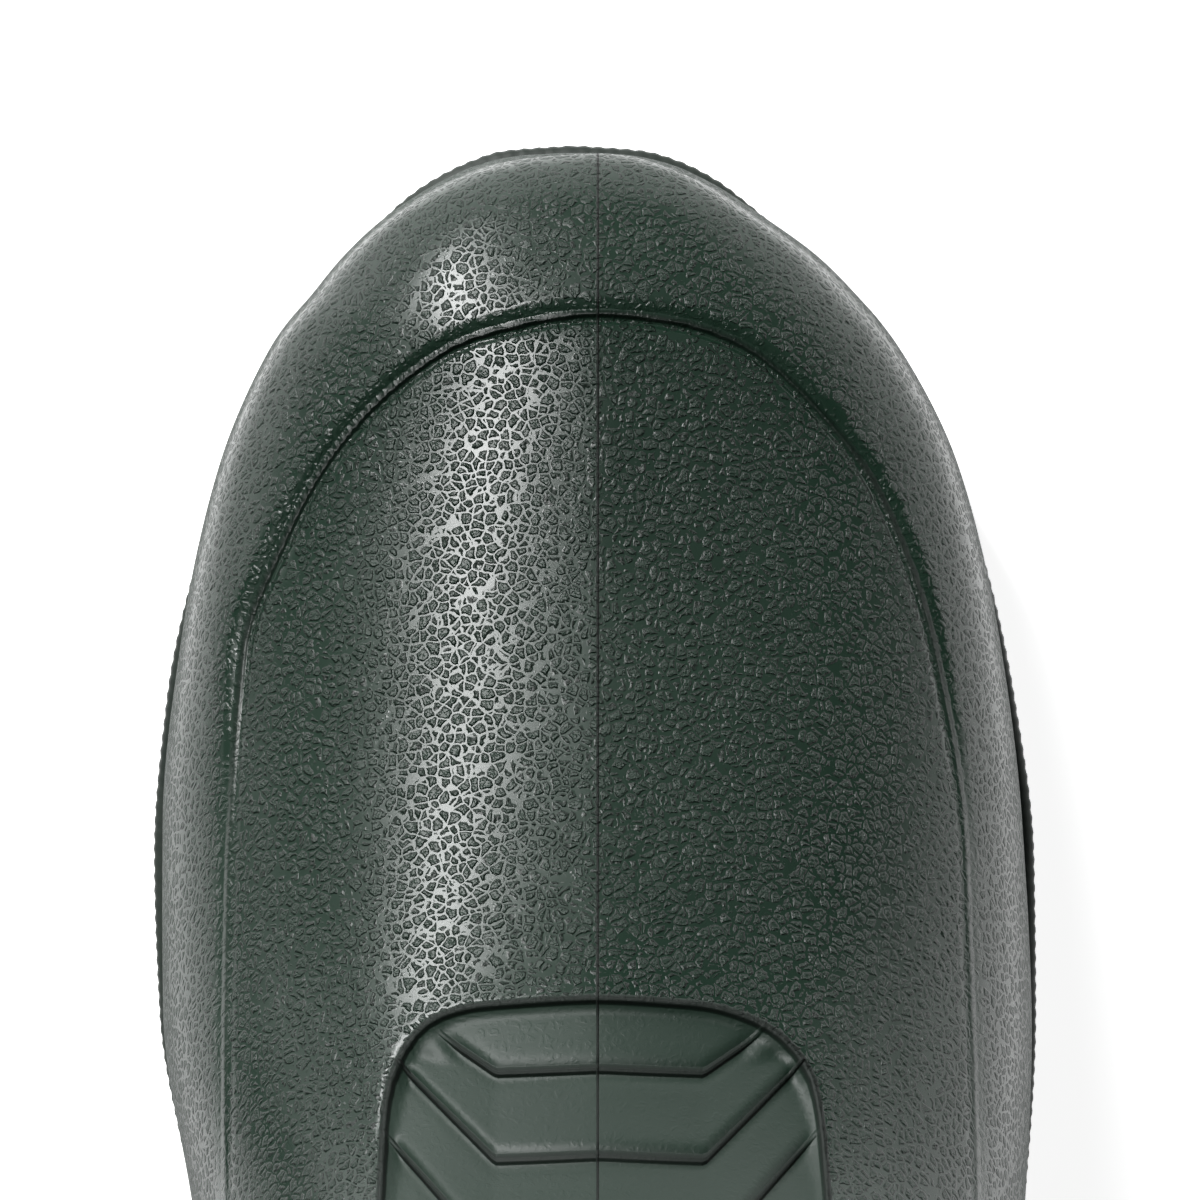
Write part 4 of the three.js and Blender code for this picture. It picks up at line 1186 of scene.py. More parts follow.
class Fabric:
    """Coated fabric of body and legs: one sewn skin, let fall, then cut at its seams."""

    def __init__(self, maker: MeshMaker, wardrobe: Wardrobe, shape: BodyShape, slack: Slack) -> None:
        self.maker = maker
        self.wardrobe = wardrobe
        self.shape = shape
        self.slack = slack
        self.skin: Thing | None = None

    def build(self) -> list[Thing]:
        """Makes the fabric's panels, patches and tapes.

        Returns:
            The pieces.
        """
        self.skin = self._sewn_skin()
        self._fall()
        made = self._panels()
        bpy.data.objects.remove(self.skin)
        return made

    def _sewn_skin(self) -> Thing:
        """Body and both legs as one even open skin."""
        shape = self.shape
        turn = np.linspace(0, 2 * math.pi, 120, endpoint=False)
        levels = np.linspace(788, 1380, 60)
        body = np.stack([shape.ring(turn, np.full(len(turn), z), 0.0) for z in levels])
        parts = [self.maker.grid("skin_body", body, cap_start=True, cap_end=True)]
        for side in Side:
            leg = np.stack([shape.leg_ring(side, turn, z, 0.0) for z in np.linspace(250, 850, 62)])
            parts.append(self.maker.grid(f"skin_{side.word}", leg, cap_start=True, cap_end=True))
        for part in parts:
            self.maker.weld(part)
        skin = self._join(parts)
        remesh = skin.modifiers.new("even", "REMESH")
        remesh.mode = "VOXEL"
        remesh.voxel_size = self.slack.voxel
        self.maker.settle(skin)
        work = bmesh.new()
        work.from_mesh(skin.data)
        shift = self.maker.layout.shift_y
        gone = []
        for face in work.faces:
            x, y, z = (c / MM for c in face.calc_center_median())
            y -= shift
            angle = math.atan2((y - shape.middle_y) / 150.0, x / 215.0)
            high = float(shape.top_edge(np.array([angle]))[0])
            if z < 268.0 or z > high - 4.0:
                gone.append(face)
        bmesh.ops.delete(work, geom=gone, context="FACES")
        for _ in range(4):
            bmesh.ops.smooth_vert(
                work, verts=[v for v in work.verts if not v.is_boundary], factor=0.5,
                use_axis_x=True, use_axis_y=True, use_axis_z=True,
            )
        bmesh.ops.recalc_face_normals(work, faces=work.faces)
        work.to_mesh(skin.data)
        work.free()
        return skin

    @staticmethod
    def _join(parts: list[Thing]) -> Thing:
        """Several meshes as one object."""
        work = bmesh.new()
        for part in parts:
            work.from_mesh(part.data)
            bpy.data.objects.remove(part)
        mesh = bpy.data.meshes.new("skin")
        work.to_mesh(mesh)
        work.free()
        thing = bpy.data.objects.new("skin", mesh)
        bpy.context.scene.collection.objects.link(thing)
        return thing

    def _local(self, mesh: bpy.types.Mesh) -> Array:
        """Mesh points in the garment's layout."""
        points = np.zeros(len(mesh.vertices) * 3)
        mesh.vertices.foreach_get("co", points)
        points = points.reshape(-1, 3) / MM
        points[:, 1] -= self.maker.layout.shift_y
        return points

    def _held(self, points: Array) -> Array:
        """How firmly each point is held while the fabric falls, 0 to 1."""
        shape = self.shape
        angle = np.arctan2((points[:, 1] - shape.middle_y) / 150.0, points[:, 0] / 215.0)
        x, y, z = points.T
        hem = smoothstep(-42, -24, z - shape.top_edge(angle))
        belt = 1 - smoothstep(27, 46, np.abs(z - shape.waist_z))
        ankle = 1 - smoothstep(298, 318, z)
        front = y < shape.middle_y - 60
        pocket = front * (1 - smoothstep(100, 118, np.abs(x))) * (1 - smoothstep(78, 100, np.abs(z - 1183)))
        tab = front * (1 - smoothstep(16, 30, np.abs(np.abs(x) - 115))) * smoothstep(1225, 1250, z)
        return np.max([hem, belt, ankle, pocket, tab], axis=0)

    def _fall(self) -> None:
        """Lets the fabric fall between the places where it is held, and fixes it there."""
        skin = self.skin
        rest = self._local(skin.data)
        held = self._held(rest)
        noise = np.zeros(len(rest))
        generator = np.random.default_rng(7)
        for _ in range(26):
            direction = unit(generator.normal(size=3))
            wave = generator.uniform(0.03, 0.085)
            noise += np.sin(rest @ direction * wave + generator.uniform(0, 6.28)) / 26**0.5
        normals = np.zeros(len(rest) * 3)
        skin.data.vertices.foreach_get("normal", normals)
        normals = normals.reshape(-1, 3)
        start = rest + normals * (2.2 * noise * (1 - held))[:, None]
        skin.data.vertices.foreach_set("co", self.maker.layout.metres(start).ravel())
        group = skin.vertex_groups.new(name="held")
        for place in np.flatnonzero(held > 0.02):
            group.add([int(place)], float(held[place]), "REPLACE")
        cloth = skin.modifiers.new("cloth", "CLOTH")
        settings = cloth.settings
        settings.quality = 5
        settings.mass = 0.35
        settings.tension_stiffness = 12
        settings.compression_stiffness = 12
        settings.shear_stiffness = 6
        settings.bending_stiffness = 0.6
        settings.air_damping = 2.5
        settings.vertex_group_mass = "held"
        settings.pin_stiffness = 1.0
        settings.shrink_min = -self.slack.excess
        settings.use_pressure = True
        settings.uniform_pressure_force = 0.25
        cloth.collision_settings.use_collision = False
        cloth.point_cache.frame_start = 1
        cloth.point_cache.frame_end = self.slack.frames
        scene = bpy.context.scene
        for frame_number in range(1, self.slack.frames + 1):
            scene.frame_set(frame_number)
        self.maker.settle(skin)
        scene.frame_set(1)
        moved = self._local(skin.data)
        travel = moved - rest
        far = np.linalg.norm(travel, axis=1, keepdims=True)
        travel *= self.slack.most / (self.slack.most + 0.55 * far)
        travel *= (1 - held)[:, None] ** 0.5
        LOG.info("fabric fell by up to %.1f mm", float(np.linalg.norm(travel, axis=1).max()))
        skin.data.vertices.foreach_set("co", self.maker.layout.metres(rest + travel).ravel())
        skin.data.update()

    def _cut(self, name: str, planes: Sequence[Plane]) -> Thing:
        """Part of the skin between upright and level planes.

        Args:
            name: New object's name.
            planes: Axis, place in millimetres and the kept side, 1 or -1; 0 keeps both.

        Returns:
            The cut copy.
        """
        thing = self.maker.copy(self.skin, name)
        work = bmesh.new()
        work.from_mesh(thing.data)
        for axis, place, keep in planes:
            normal = [0.0, 0.0, 0.0]
            normal[axis] = 1.0
            at = [0.0, 0.0, 0.0]
            at[axis] = (place + (self.maker.layout.shift_y if axis == 1 else 0.0)) * MM
            bmesh.ops.bisect_plane(
                work, geom=[*work.verts, *work.edges, *work.faces], dist=1e-6, plane_co=at, plane_no=normal,
                clear_outer=keep < 0, clear_inner=keep > 0,
            )
        work.to_mesh(thing.data)
        work.free()
        return thing

    def _drop_box(self, thing: Thing, half: float, low: float) -> None:
        """Removes faces inside the gusset's room."""
        work = bmesh.new()
        work.from_mesh(thing.data)
        gone = [
            face for face in work.faces
            if abs(face.calc_center_median().x) < half * MM and face.calc_center_median().z > low * MM
        ]
        bmesh.ops.delete(work, geom=gone, context="FACES")
        work.to_mesh(thing.data)
        work.free()

    def _thicken(self, thing: Thing, wall: float, lift: float, material: Material) -> None:
        """Gives a cut sheet its thickness, over the skin by a lift."""
        mesh = thing.data
        if lift:
            points = self._local(mesh)
            normals = np.zeros(len(points) * 3)
            mesh.vertices.foreach_get("normal", normals)
            points += normals.reshape(-1, 3) * lift
            mesh.vertices.foreach_set("co", self.maker.layout.metres(points).ravel())
        solid = thing.modifiers.new("wall", "SOLIDIFY")
        solid.thickness = wall * MM
        solid.offset = 1.0 if lift else -1.0
        solid.use_even_offset = False
        self.maker.settle(thing)
        lay_flat(thing.data)
        thing.data.shade_smooth()
        dress(thing, material)

    @staticmethod
    def _declare(thing: Thing, node: str, slot: str, flat: tuple[float, float], on: str) -> Thing:
        """Attaches a cloth piece to the garment and hides the part that it stands for.

        The area isn't a cut size.

        Args:
            thing: Fallen piece.
            node: Part that it stands for.
            slot: Not used.
            flat: Not used.
            on: Not used.

        Returns:
            The piece.
        """
        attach(thing, "garment")
        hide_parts(node)
        return thing

    def _panels(self) -> list[Thing]:
        """Cuts the skin into its sewn pieces."""
        wall = self.slack.wall
        cloth, patch = self.wardrobe.fabric, self.wardrobe.patch
        made = []
        for name, node, keep in (("bib_front_cloth", "front_bib_panel", -1), ("back_cloth", "back_panel", 1)):
            panel = self._cut(name, [(2, 822.2, 1), (1, -90.0 + 0.2 * keep, keep)])
            self._thicken(panel, wall, 0.0, cloth)
            made.append(self._declare(panel, node, "wader_fabric", (0.68, 0.56), "chest_edge_binding"))
        gusset = self._cut("crotch_gusset_cloth", [(0, -38, 1), (0, 38, -1), (2, 770, 1), (2, 822, -1)])
        self._thicken(gusset, wall, 0.0, patch)
        made.append(self._declare(gusset, "crotch_gusset", "patch_fabric", (0.1, 0.4), "front_bib_panel"))
        for side in Side:
            keep = side.value
            planes = [(2, 822, -1), (0, 0.2 * keep, keep), (0, 38.2 * keep, 0), (2, 769.8, 0)]
            leg = self._cut(f"{side.word}_leg_cloth", planes)
            self._drop_box(leg, 38.2, 769.8)
            self._thicken(leg, wall, 0.0, cloth)
            node = f"{side.word}_leg_fabric"
            made.append(self._declare(leg, node, "wader_fabric", (0.72, 0.58), "front_bib_panel"))
            knee = [(2, 430, 1), (2, 590, -1), (0, keep * 120 - 73, 1), (0, keep * 120 + 73, -1), (1, -100, -1)]
            made.append(self._trim(f"{side.word}_knee_patch", side, knee, (0.21, 0.175)))
            sides = [(1, -98, 1), (1, -82, -1), (0, 60 * keep, keep)]
            hip = [*sides, (2, 842, 1), (2, 1039, -1)]
            made.append(self._trim(f"{side.word}_hip_seam_tape", side, hip, (0.018, 0.205)))
            chest = [*sides, (2, 1081, 1), (2, 1221, -1)]
            made.append(self._trim(f"{side.word}_chest_seam_tape", side, chest, (0.018, 0.145)))
        return made

    def _trim(
        self, node: str, side: Side, planes: Sequence[Plane], flat: tuple[float, float]
    ) -> Thing:
        """Patch or tape that lies on the fallen fabric."""
        thing = self._cut(f"{node}_cloth", planes)
        self._thicken(thing, 0.7, 0.35, self.wardrobe.patch)
        on = f"{side.word}_leg_fabric" if "knee" in node else "front_bib_panel"
        return self._declare(thing, node, "patch_fabric", flat, on)


def lay_flat(mesh: bpy.types.Mesh) -> None:
    """Lays flat coordinates in metres on a mesh, across and up."""
    layer = mesh.uv_layers.get("flat") or mesh.uv_layers.new(name="flat")
    points = np.zeros(len(mesh.vertices) * 3)
    mesh.vertices.foreach_get("co", points)
    points = points.reshape(-1, 3)
    corner = np.zeros(len(mesh.loops), int)
    mesh.loops.foreach_get("vertex_index", corner)
    normals = np.zeros(len(mesh.polygons) * 3)
    mesh.polygons.foreach_get("normal", normals)
    normals = np.abs(normals.reshape(-1, 3))
    sizes = np.zeros(len(mesh.polygons), int)
    mesh.polygons.foreach_get("loop_total", sizes)
    sideways = np.repeat(normals[:, 0] > normals[:, 1], sizes)
    across = np.where(sideways, points[corner, 1], points[corner, 0])
    layer.data.foreach_set("uv", np.stack([across, points[corner, 2]], axis=1).astype(np.float32).ravel())


# ------------------------------------------------------------------ webbing, trims and pocket
class Strips:
    """Flat strips of webbing, elastic and cloth along a path."""

    def __init__(self, maker: MeshMaker) -> None:
        self.maker = maker

    def strip(self, name: str, path: Array, outward: Array, width: float, thick: float) -> Thing:
        """Rounded flat strip.

        Args:
            name: Object's name.
            path: Points along the strip's inner face.
            outward: Outward direction at each point.
            width: Strip's width.
            thick: Strip's thickness.

        Returns:
            The strip.
        """
        along = unit(np.gradient(path, axis=0))
        out = unit(outward - along * np.sum(outward * along, axis=1, keepdims=True))
        across = np.cross(along, out)
        profile = self._profile(width, thick)
        rows = path[:, None] + across[:, None] * profile[None, :, :1] + out[:, None] * profile[None, :, 1:]
        thing = self.maker.grid(name, rows, cap_start=True, cap_end=True)
        self.maker.weld(thing)
        return thing

    @staticmethod
    def _profile(width: float, thick: float) -> Array:
        """Section of a strip: flat faces and round edges."""
        half, radius = width / 2, thick / 2
        flat = np.linspace(-(half - radius), half - radius, 9)
        bend = np.linspace(-math.pi / 2, math.pi / 2, 6)[1:-1]
        right = np.stack([half - radius + radius * np.cos(bend), radius + radius * np.sin(bend)], axis=1)
        low = np.stack([flat, np.zeros(9)], axis=1)
        high = np.stack([flat[::-1], np.full(9, thick)], axis=1)
        return np.concatenate([low, right, high, right[::-1] * [-1, 1]])

    def stitches(self, name: str, path: Array, outward: Array, pitch: float = 3.6) -> Thing:
        """Row of thread stitches along a path lying on a surface."""
        run = np.concatenate([[0], np.cumsum(np.linalg.norm(np.diff(path, axis=0), axis=1))])
        starts = np.arange(pitch * 0.3, run[-1] - pitch * 0.7, pitch)
        bow = np.linspace(0, math.pi, 6)
        turn = np.linspace(0, 2 * math.pi, 6, endpoint=False)
        work = bmesh.new()
        for begin in starts:
            at = begin + np.linspace(0, pitch * 0.72, 6)
            line = np.stack([np.interp(at, run, path[:, a]) for a in range(3)], axis=1)
            normal = unit(np.stack([np.interp(at, run, outward[:, a]) for a in range(3)], axis=1))
            side = np.cross(unit(np.gradient(line, axis=0)), normal)
            line = line + normal * (0.3 * np.sin(bow) - 0.12)[:, None]
            radius = 0.27
            ahead = np.cos(turn)[None, :, None] * side[:, None]
            rings = line[:, None] + radius * (ahead + np.sin(turn)[None, :, None] * normal[:, None])
            verts = [[work.verts.new(p) for p in self.maker.layout.metres(ring)] for ring in rings]
            for a, b in zip(verts[:-1], verts[1:]):
                for k in range(6):
                    work.faces.new((a[k], a[(k + 1) % 6], b[(k + 1) % 6], b[k]))
            work.faces.new(verts[0][::-1])
            work.faces.new(verts[-1])
        mesh = bpy.data.meshes.new(name)
        bmesh.ops.recalc_face_normals(work, faces=work.faces)
        work.to_mesh(mesh)
        work.free()
        mesh.shade_smooth()
        thing = bpy.data.objects.new(name, mesh)
        bpy.context.scene.collection.objects.link(thing)
        return thing


def declare(
    thing: Thing, node: str | None, material: Material, body: str = "garment"
) -> Thing:
    """Dresses a piece, attaches it to a body and hides the part that it stands for, if one is given."""
    dress(thing, material)
    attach(thing, body)
    if node:
        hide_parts(node)
    return thing


class Belt:
    """Waist belt with its loops."""

    def __init__(self, strips: Strips, wardrobe: Wardrobe, shape: BodyShape) -> None:
        self.strips = strips
        self.wardrobe = wardrobe
        self.shape = shape

    def build(self) -> None:
        """Makes the belt's webbing and four loops."""
        shape = self.shape
        front_y = shape.middle_y - 137.0 - 3.8
        turn = np.radians(np.linspace(296.0, 604.0, 240))
        ring = shape.ring(turn, np.full(len(turn), shape.waist_z), 3.8)
        start = [[x, front_y, shape.waist_z] for x in (24.0, 36.0, 50.0)]
        end = [[x, front_y, shape.waist_z] for x in (-64.0, -45.0, -26.0)]
        path = smooth_line([*start, *ring[::4].tolist(), *end], 420)
        outward = path - np.array([0.0, shape.middle_y, shape.waist_z])
        flat = (np.abs(path[:, 0]) < 66) & (path[:, 1] < shape.middle_y)
        outward[flat] = [0.0, -1.0, 0.0]
        belt = self.strips.strip("belt_webbing", path, unit(outward), 38.0, 2.0)
        declare(belt, "waist_belt_webbing", self.wardrobe.webbing)
        for side in Side:
            self._loop(side, "front", 128.0)
            self._loop(side, "back", 100.0)

    def _loop(self, side: Side, face: str, reach: float) -> None:
        """Cloth loop standing over the belt."""
        rise = (
            (-28, 0.35), (-23, 0.45), (-20.6, 4.2), (-18.5, 6.3), (0, 6.5), (18.5, 6.3), (20.6, 4.2),
            (23, 0.45), (28, 0.35),
        )
        line = smooth_line(rise, 60)
        x = np.full(len(line), side.value * reach)
        path, out = self.shape.face(x, self.shape.waist_z + line[:, 0], line[:, 1], back=face == "back")
        node = f"{side.word}_{face}_belt_loop"
        loop = self.strips.strip(f"{node}_cloth", path, out, 14.0, 1.5)
        declare(loop, node, self.wardrobe.patch)


class Braces:
    """Shoulder straps: front tabs, webbing and crossed elastics."""

    def __init__(self, strips: Strips, wardrobe: Wardrobe) -> None:
        self.strips = strips
        self.wardrobe = wardrobe

    def build(self) -> None:
        """Makes both straps and the patch at their crossing."""
        for side in Side:
            self._strap(side)
        self._cross()

    def _strap(self, side: Side) -> None:
        """One strap from the bib to the back."""
        sign = side.value
        foot = np.array([sign * 115.0, -226.02, 1334.0])
        shoulder = np.array([sign * 98.0, -92.0, 1470.0])
        run = float(np.linalg.norm(shoulder - foot))
        along = (shoulder - foot) / run
        out = foot - np.array([foot[0], -80.0, 1370.0])
        out = unit(out - along * (out @ along))

        def at(distance: float, lift: float = 0.0) -> list[float]:
            return (foot + along * distance + out * lift).tolist()

        word = side.word
        sewn_part = [[foot[0], foot[1] + back, z] for back, z in ((1.4, 1263.0), (0.7, 1305.0), (0.0, 1328.0))]
        tab = smooth_line([*sewn_part, at(4), at(16)], 60)
        bend = smoothstep(1322, 1338, tab[:, 2])[:, None]
        tab_out = unit((1 - bend) * np.array([0.0, -1.0, 0.0]) + bend * out)
        tab_strip = self.strips.strip(f"{word}_tab_webbing", tab, tab_out, 25.0, 2.0)
        declare(tab_strip, f"{word}_front_tab", self.wardrobe.webbing)
        box = [(-9.5, 1268.0), (9.5, 1268.0), (9.5, 1296.0), (-9.5, 1296.0), (-9.5, 1268.0), (9.5, 1296.0)]
        line = np.array([[foot[0] + x, 0.0, z] for x, z in box])
        line = np.concatenate([np.linspace(a, b, 12) for a, b in zip(line[:-1], line[1:])])
        line[:, 1] = np.interp(line[:, 2], tab[:, 2], tab[:, 1]) - 2.0
        forward = np.tile([0.0, -1.0, 0.0], (len(line), 1))
        sewn = self.strips.stitches(f"{word}_tab_stitching", line, forward)
        declare(sewn, None, self.wardrobe.thread)

        web = np.linspace(at(66), at(run), 60)
        brace = self.strips.strip(f"{word}_brace_webbing", web, np.tile(out, (60, 1)), 25.0, 2.0)
        declare(brace, f"{word}_front_webbing", self.wardrobe.webbing)

        lift = 2.5 if side is Side.LEFT else 0.0
        corners = [at(run - 22, 2.3), at(run, 2.9)]
        over = ((95, -58, 1489), (88, -22, 1488), (72, 15, 1461), (46, 44, 1418))
        corners += [[sign * x, y, z] for x, y, z in over]
        corners += [[sign * x, y + lift, z] for x, y, z in ((22, 60, 1382), (0, 67, 1350), (-26, 67, 1316))]
        corners += [[sign * x, y, z] for x, y, z in ((-46, 64, 1290), (-66, 60, 1250))]
        directions = [out, out]
        for place, corner in enumerate(corners[2:], start=2):
            if place > 6:
                directions.append(np.array([0.0, 1.0, 0.1]))
            else:
                directions.append(unit(np.array(corner) - np.array([corner[0], -80.0, 1370.0])))
        both = smooth_line([[*corner, *direction] for corner, direction in zip(corners, directions)], 240)
        elastic = self.strips.strip(f"{word}_brace_elastic", both[:, :3], unit(both[:, 3:]), 38.0, 2.2)
        declare(elastic, f"{word}_elastic_strap", self.wardrobe.elastic)

    def _cross(self) -> None:
        """Patch sewn over the crossing."""
        z = np.linspace(1320.0, 1380.0, 40)
        y = 72.0 - 1.2 * np.abs((z - 1350.0) / 30.0) ** 6
        path = np.stack([np.zeros(40), y, z], axis=1)
        patch = self.strips.strip("cross_patch_cloth", path, np.tile([0.0, 1.0, 0.0], (40, 1)), 60.0, 1.9)
        declare(patch, "strap_cross_patch", self.wardrobe.patch)
        half = 25.0
        box = [(-half, -half), (half, -half), (half, half), (-half, half), (-half, -half), (half, half)]
        line = np.array([[x, 73.9, 1350.0 + dz] for x, dz in box])
        line = np.concatenate([np.linspace(a, b, 14) for a, b in zip(line[:-1], line[1:])])
        sewn = self.strips.stitches("cross_patch_stitching", line, np.tile([0.0, 1.0, 0.0], (len(line), 1)))
        declare(sewn, None, self.wardrobe.thread)


class Trims:
    """Chest edge binding and the bands welded round the boot tops."""

    def __init__(self, maker: MeshMaker, wardrobe: Wardrobe, shape: BodyShape) -> None:
        self.maker = maker
        self.wardrobe = wardrobe
        self.shape = shape

    def build(self) -> None:
        """Makes the binding and both weld bands."""
        self._binding()
        for side in Side:
            self._weld_band(side)

    def _binding(self) -> None:
        """Folded tape over the garment's top edge."""
        angle = np.linspace(0, 2 * math.pi, 361)
        edge = self.shape.top_edge(angle)
        section = [
            (0.35, -17.8), (0.35, -12.0), (0.35, -6.0), (0.35, 0.1), (0.0, 0.45), (-1.0, 0.55), (-2.2, 0.45),
            (-2.4, 0.0), (-2.4, -6.0), (-2.4, -12.0), (-2.4, -17.8), (-2.9, -18.0), (-3.4, -17.8),
            (-3.4, -12.0), (-3.4, -6.0), (-3.4, 0.0), (-2.9, 1.1), (-1.0, 1.5), (0.9, 1.1), (1.4, 0.0),
            (1.4, -6.0), (1.4, -12.0), (1.4, -17.4), (0.9, -18.0),
        ]
        rows = np.stack([self.shape.ring(angle, edge + rise, off) for off, rise in section], axis=1)
        thing = self.maker.grid("chest_binding_tape", rows)
        self.maker.weld(thing)
        declare(thing, "chest_edge_binding", self.wardrobe.webbing)

    def _weld_band(self, side: Side) -> None:
        """Band welded over the joint of leg and boot."""
        angle = np.linspace(0, 2 * math.pi, 160, endpoint=False)
        section = [
            (0.3, 259.5), (0.3, 268.0), (0.3, 282.0), (0.3, 295.5), (0.9, 296.0), (1.5, 295.3),
            (1.5, 282.0), (1.5, 268.0), (1.5, 260.2), (0.9, 259.4), (0.3, 259.5),
        ]
        rows = np.stack([self.shape.leg_ring(side, angle, z, off) for off, z in section])
        thing = self.maker.grid(f"{side.word}_welded_band", rows)
        self.maker.weld(thing)
        declare(thing, f"{side.word}_weld_band", self.wardrobe.tape)


class Pocket:
    """Bellows pocket on the bib with its flap."""

    half: float = 95.0
    low: float = 1108.0
    high: float = 1258.0

    def __init__(self, maker: MeshMaker, strips: Strips, wardrobe: Wardrobe, shape: BodyShape) -> None:
        self.maker = maker
        self.strips = strips
        self.wardrobe = wardrobe
        self.shape = shape

    def _sheet(self, name: str, rows: Array, wall: float) -> Thing:
        """Open grid given a thickness inwards."""
        thing = self.maker.grid(name, rows, closed=False)
        solid = thing.modifiers.new("wall", "SOLIDIFY")
        solid.thickness = wall * MM
        solid.offset = -1.0
        self.maker.settle(thing)
        work = bmesh.new()
        work.from_mesh(thing.data)
        bmesh.ops.recalc_face_normals(work, faces=work.faces)
        work.to_mesh(thing.data)
        work.free()
        thing.data.shade_smooth()
        return thing

    def build(self) -> None:
        """Makes pouch, flap and their stitching."""
        self._pouch()
        self._flap()

    def _pouch(self) -> None:
        """Pouch that stands out from the bib on folded sides."""
        across = np.linspace(-1, 1, 111)
        up = np.linspace(0, 1, 91)
        rows = []
        for share in up:
            z = self.low + share * (self.high - self.low)
            x = across * self.half
            gap = np.minimum(self.half - np.abs(x), z - self.low)
            shoulder = np.clip(gap / 9.0, 0, 1)
            out = 0.6 + 20.4 * np.sqrt(np.maximum(0, 1 - (1 - shoulder) ** 2.6))
            bulge = 0.9 * np.cos(across * math.pi / 2) * math.sin(share * math.pi * 0.8)
            ripple = 0.5 * np.sin(x * 0.11 + share * 9) * np.clip(gap / 30, 0, 1)
            point, _ = self.shape.face(x, np.full(len(x), z), out + bulge + ripple)
            rows.append(point)
        pouch = self._sheet("pocket_pouch_cloth", np.stack(rows)[:, ::-1], 1.2)
        declare(pouch, "chest_pocket_pouch", self.wardrobe.fabric)
        edge, foot, top = self.half - 10, self.low + 10, self.high - 50
        x = np.concatenate([np.full(40, -edge), np.linspace(-edge, edge, 60), np.full(40, edge)])
        z = np.concatenate([np.linspace(top, foot, 40), np.full(60, foot), np.linspace(foot, top, 40)])
        line, out = self.shape.face(x, z, 21.7)
        sewn = self.strips.stitches("pocket_pouch_stitching", line, out)
        declare(sewn, None, self.wardrobe.thread)

    def _flap(self) -> None:
        """Flap from its sewn edge over the pouch's mouth."""
        half = self.half + 6.0
        fold = [
            (0.8, 1261.6), (3.0, 1261.4), (12.0, 1261.3), (20.0, 1261.0), (23.6, 1259.6), (24.9, 1256.0),
            (25.1, 1248.0), (25.0, 1230.0), (24.8, 1212.5),
        ]
        profile = smooth_line(fold, 60)
        across = np.linspace(-1, 1, 111)
        rows = []
        for place, (out, z) in enumerate(profile):
            round_off = 6.0 * np.clip((place - 44) / 15, 0, 1) ** 2
            x = across * (half - round_off * 0.35)
            sag = 0.35 * np.sin(across * 7.0) * np.clip((place - 25) / 30, 0, 1)
            point, _ = self.shape.face(x, np.full(len(x), z), np.full(len(x), out) + sag)
            rows.append(point)
        flap = self._sheet("pocket_flap_cloth", np.stack(rows), 1.5)
        dress(flap, self.wardrobe.patch)
        hinge, _ = self.shape.face(np.zeros(1), np.full(1, 1261.2), np.zeros(1))
        start = self.maker.layout.metres(hinge[0] - [0, 0.5, 0])
        end = self.maker.layout.metres(hinge[0] - [0, 13.0, 0])
        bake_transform(flap)
        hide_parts("chest_pocket_flap")
        edge = half - 7.0
        x = np.concatenate([np.full(16, -edge), np.linspace(-edge, edge, 70), np.full(16, edge)])
        z = np.concatenate([np.linspace(1254, 1219, 16), np.full(70, 1218.0), np.linspace(1219, 1254, 16)])
        line, out = self.shape.face(x, z, 25.15)
        sewn = self.strips.stitches("pocket_flap_stitching", line, out)
        declare(sewn, None, self.wardrobe.thread, "pocket_flap")


class Plastics:
    """Buckles and adjusters, kept as they are in the frame, with softened edges."""

    def __init__(self, nodes: dict[str, Thing], wardrobe: Wardrobe) -> None:
        self.nodes = nodes
        self.wardrobe = wardrobe

    def build(self) -> None:
        """Dresses every plastic piece."""
        for name, thing in self.nodes.items():
            if name.endswith(("_socket", "_plug", "_adjuster")):
                dress(thing, self.wardrobe.plastic)
                bevel = thing.modifiers.new("soft edges", "BEVEL")
                bevel.width = 0.0006
                bevel.segments = 3
                bevel.limit_method = "ANGLE"
                bevel.angle_limit = math.radians(40)
                for polygon in thing.data.polygons:
                    polygon.use_smooth = False


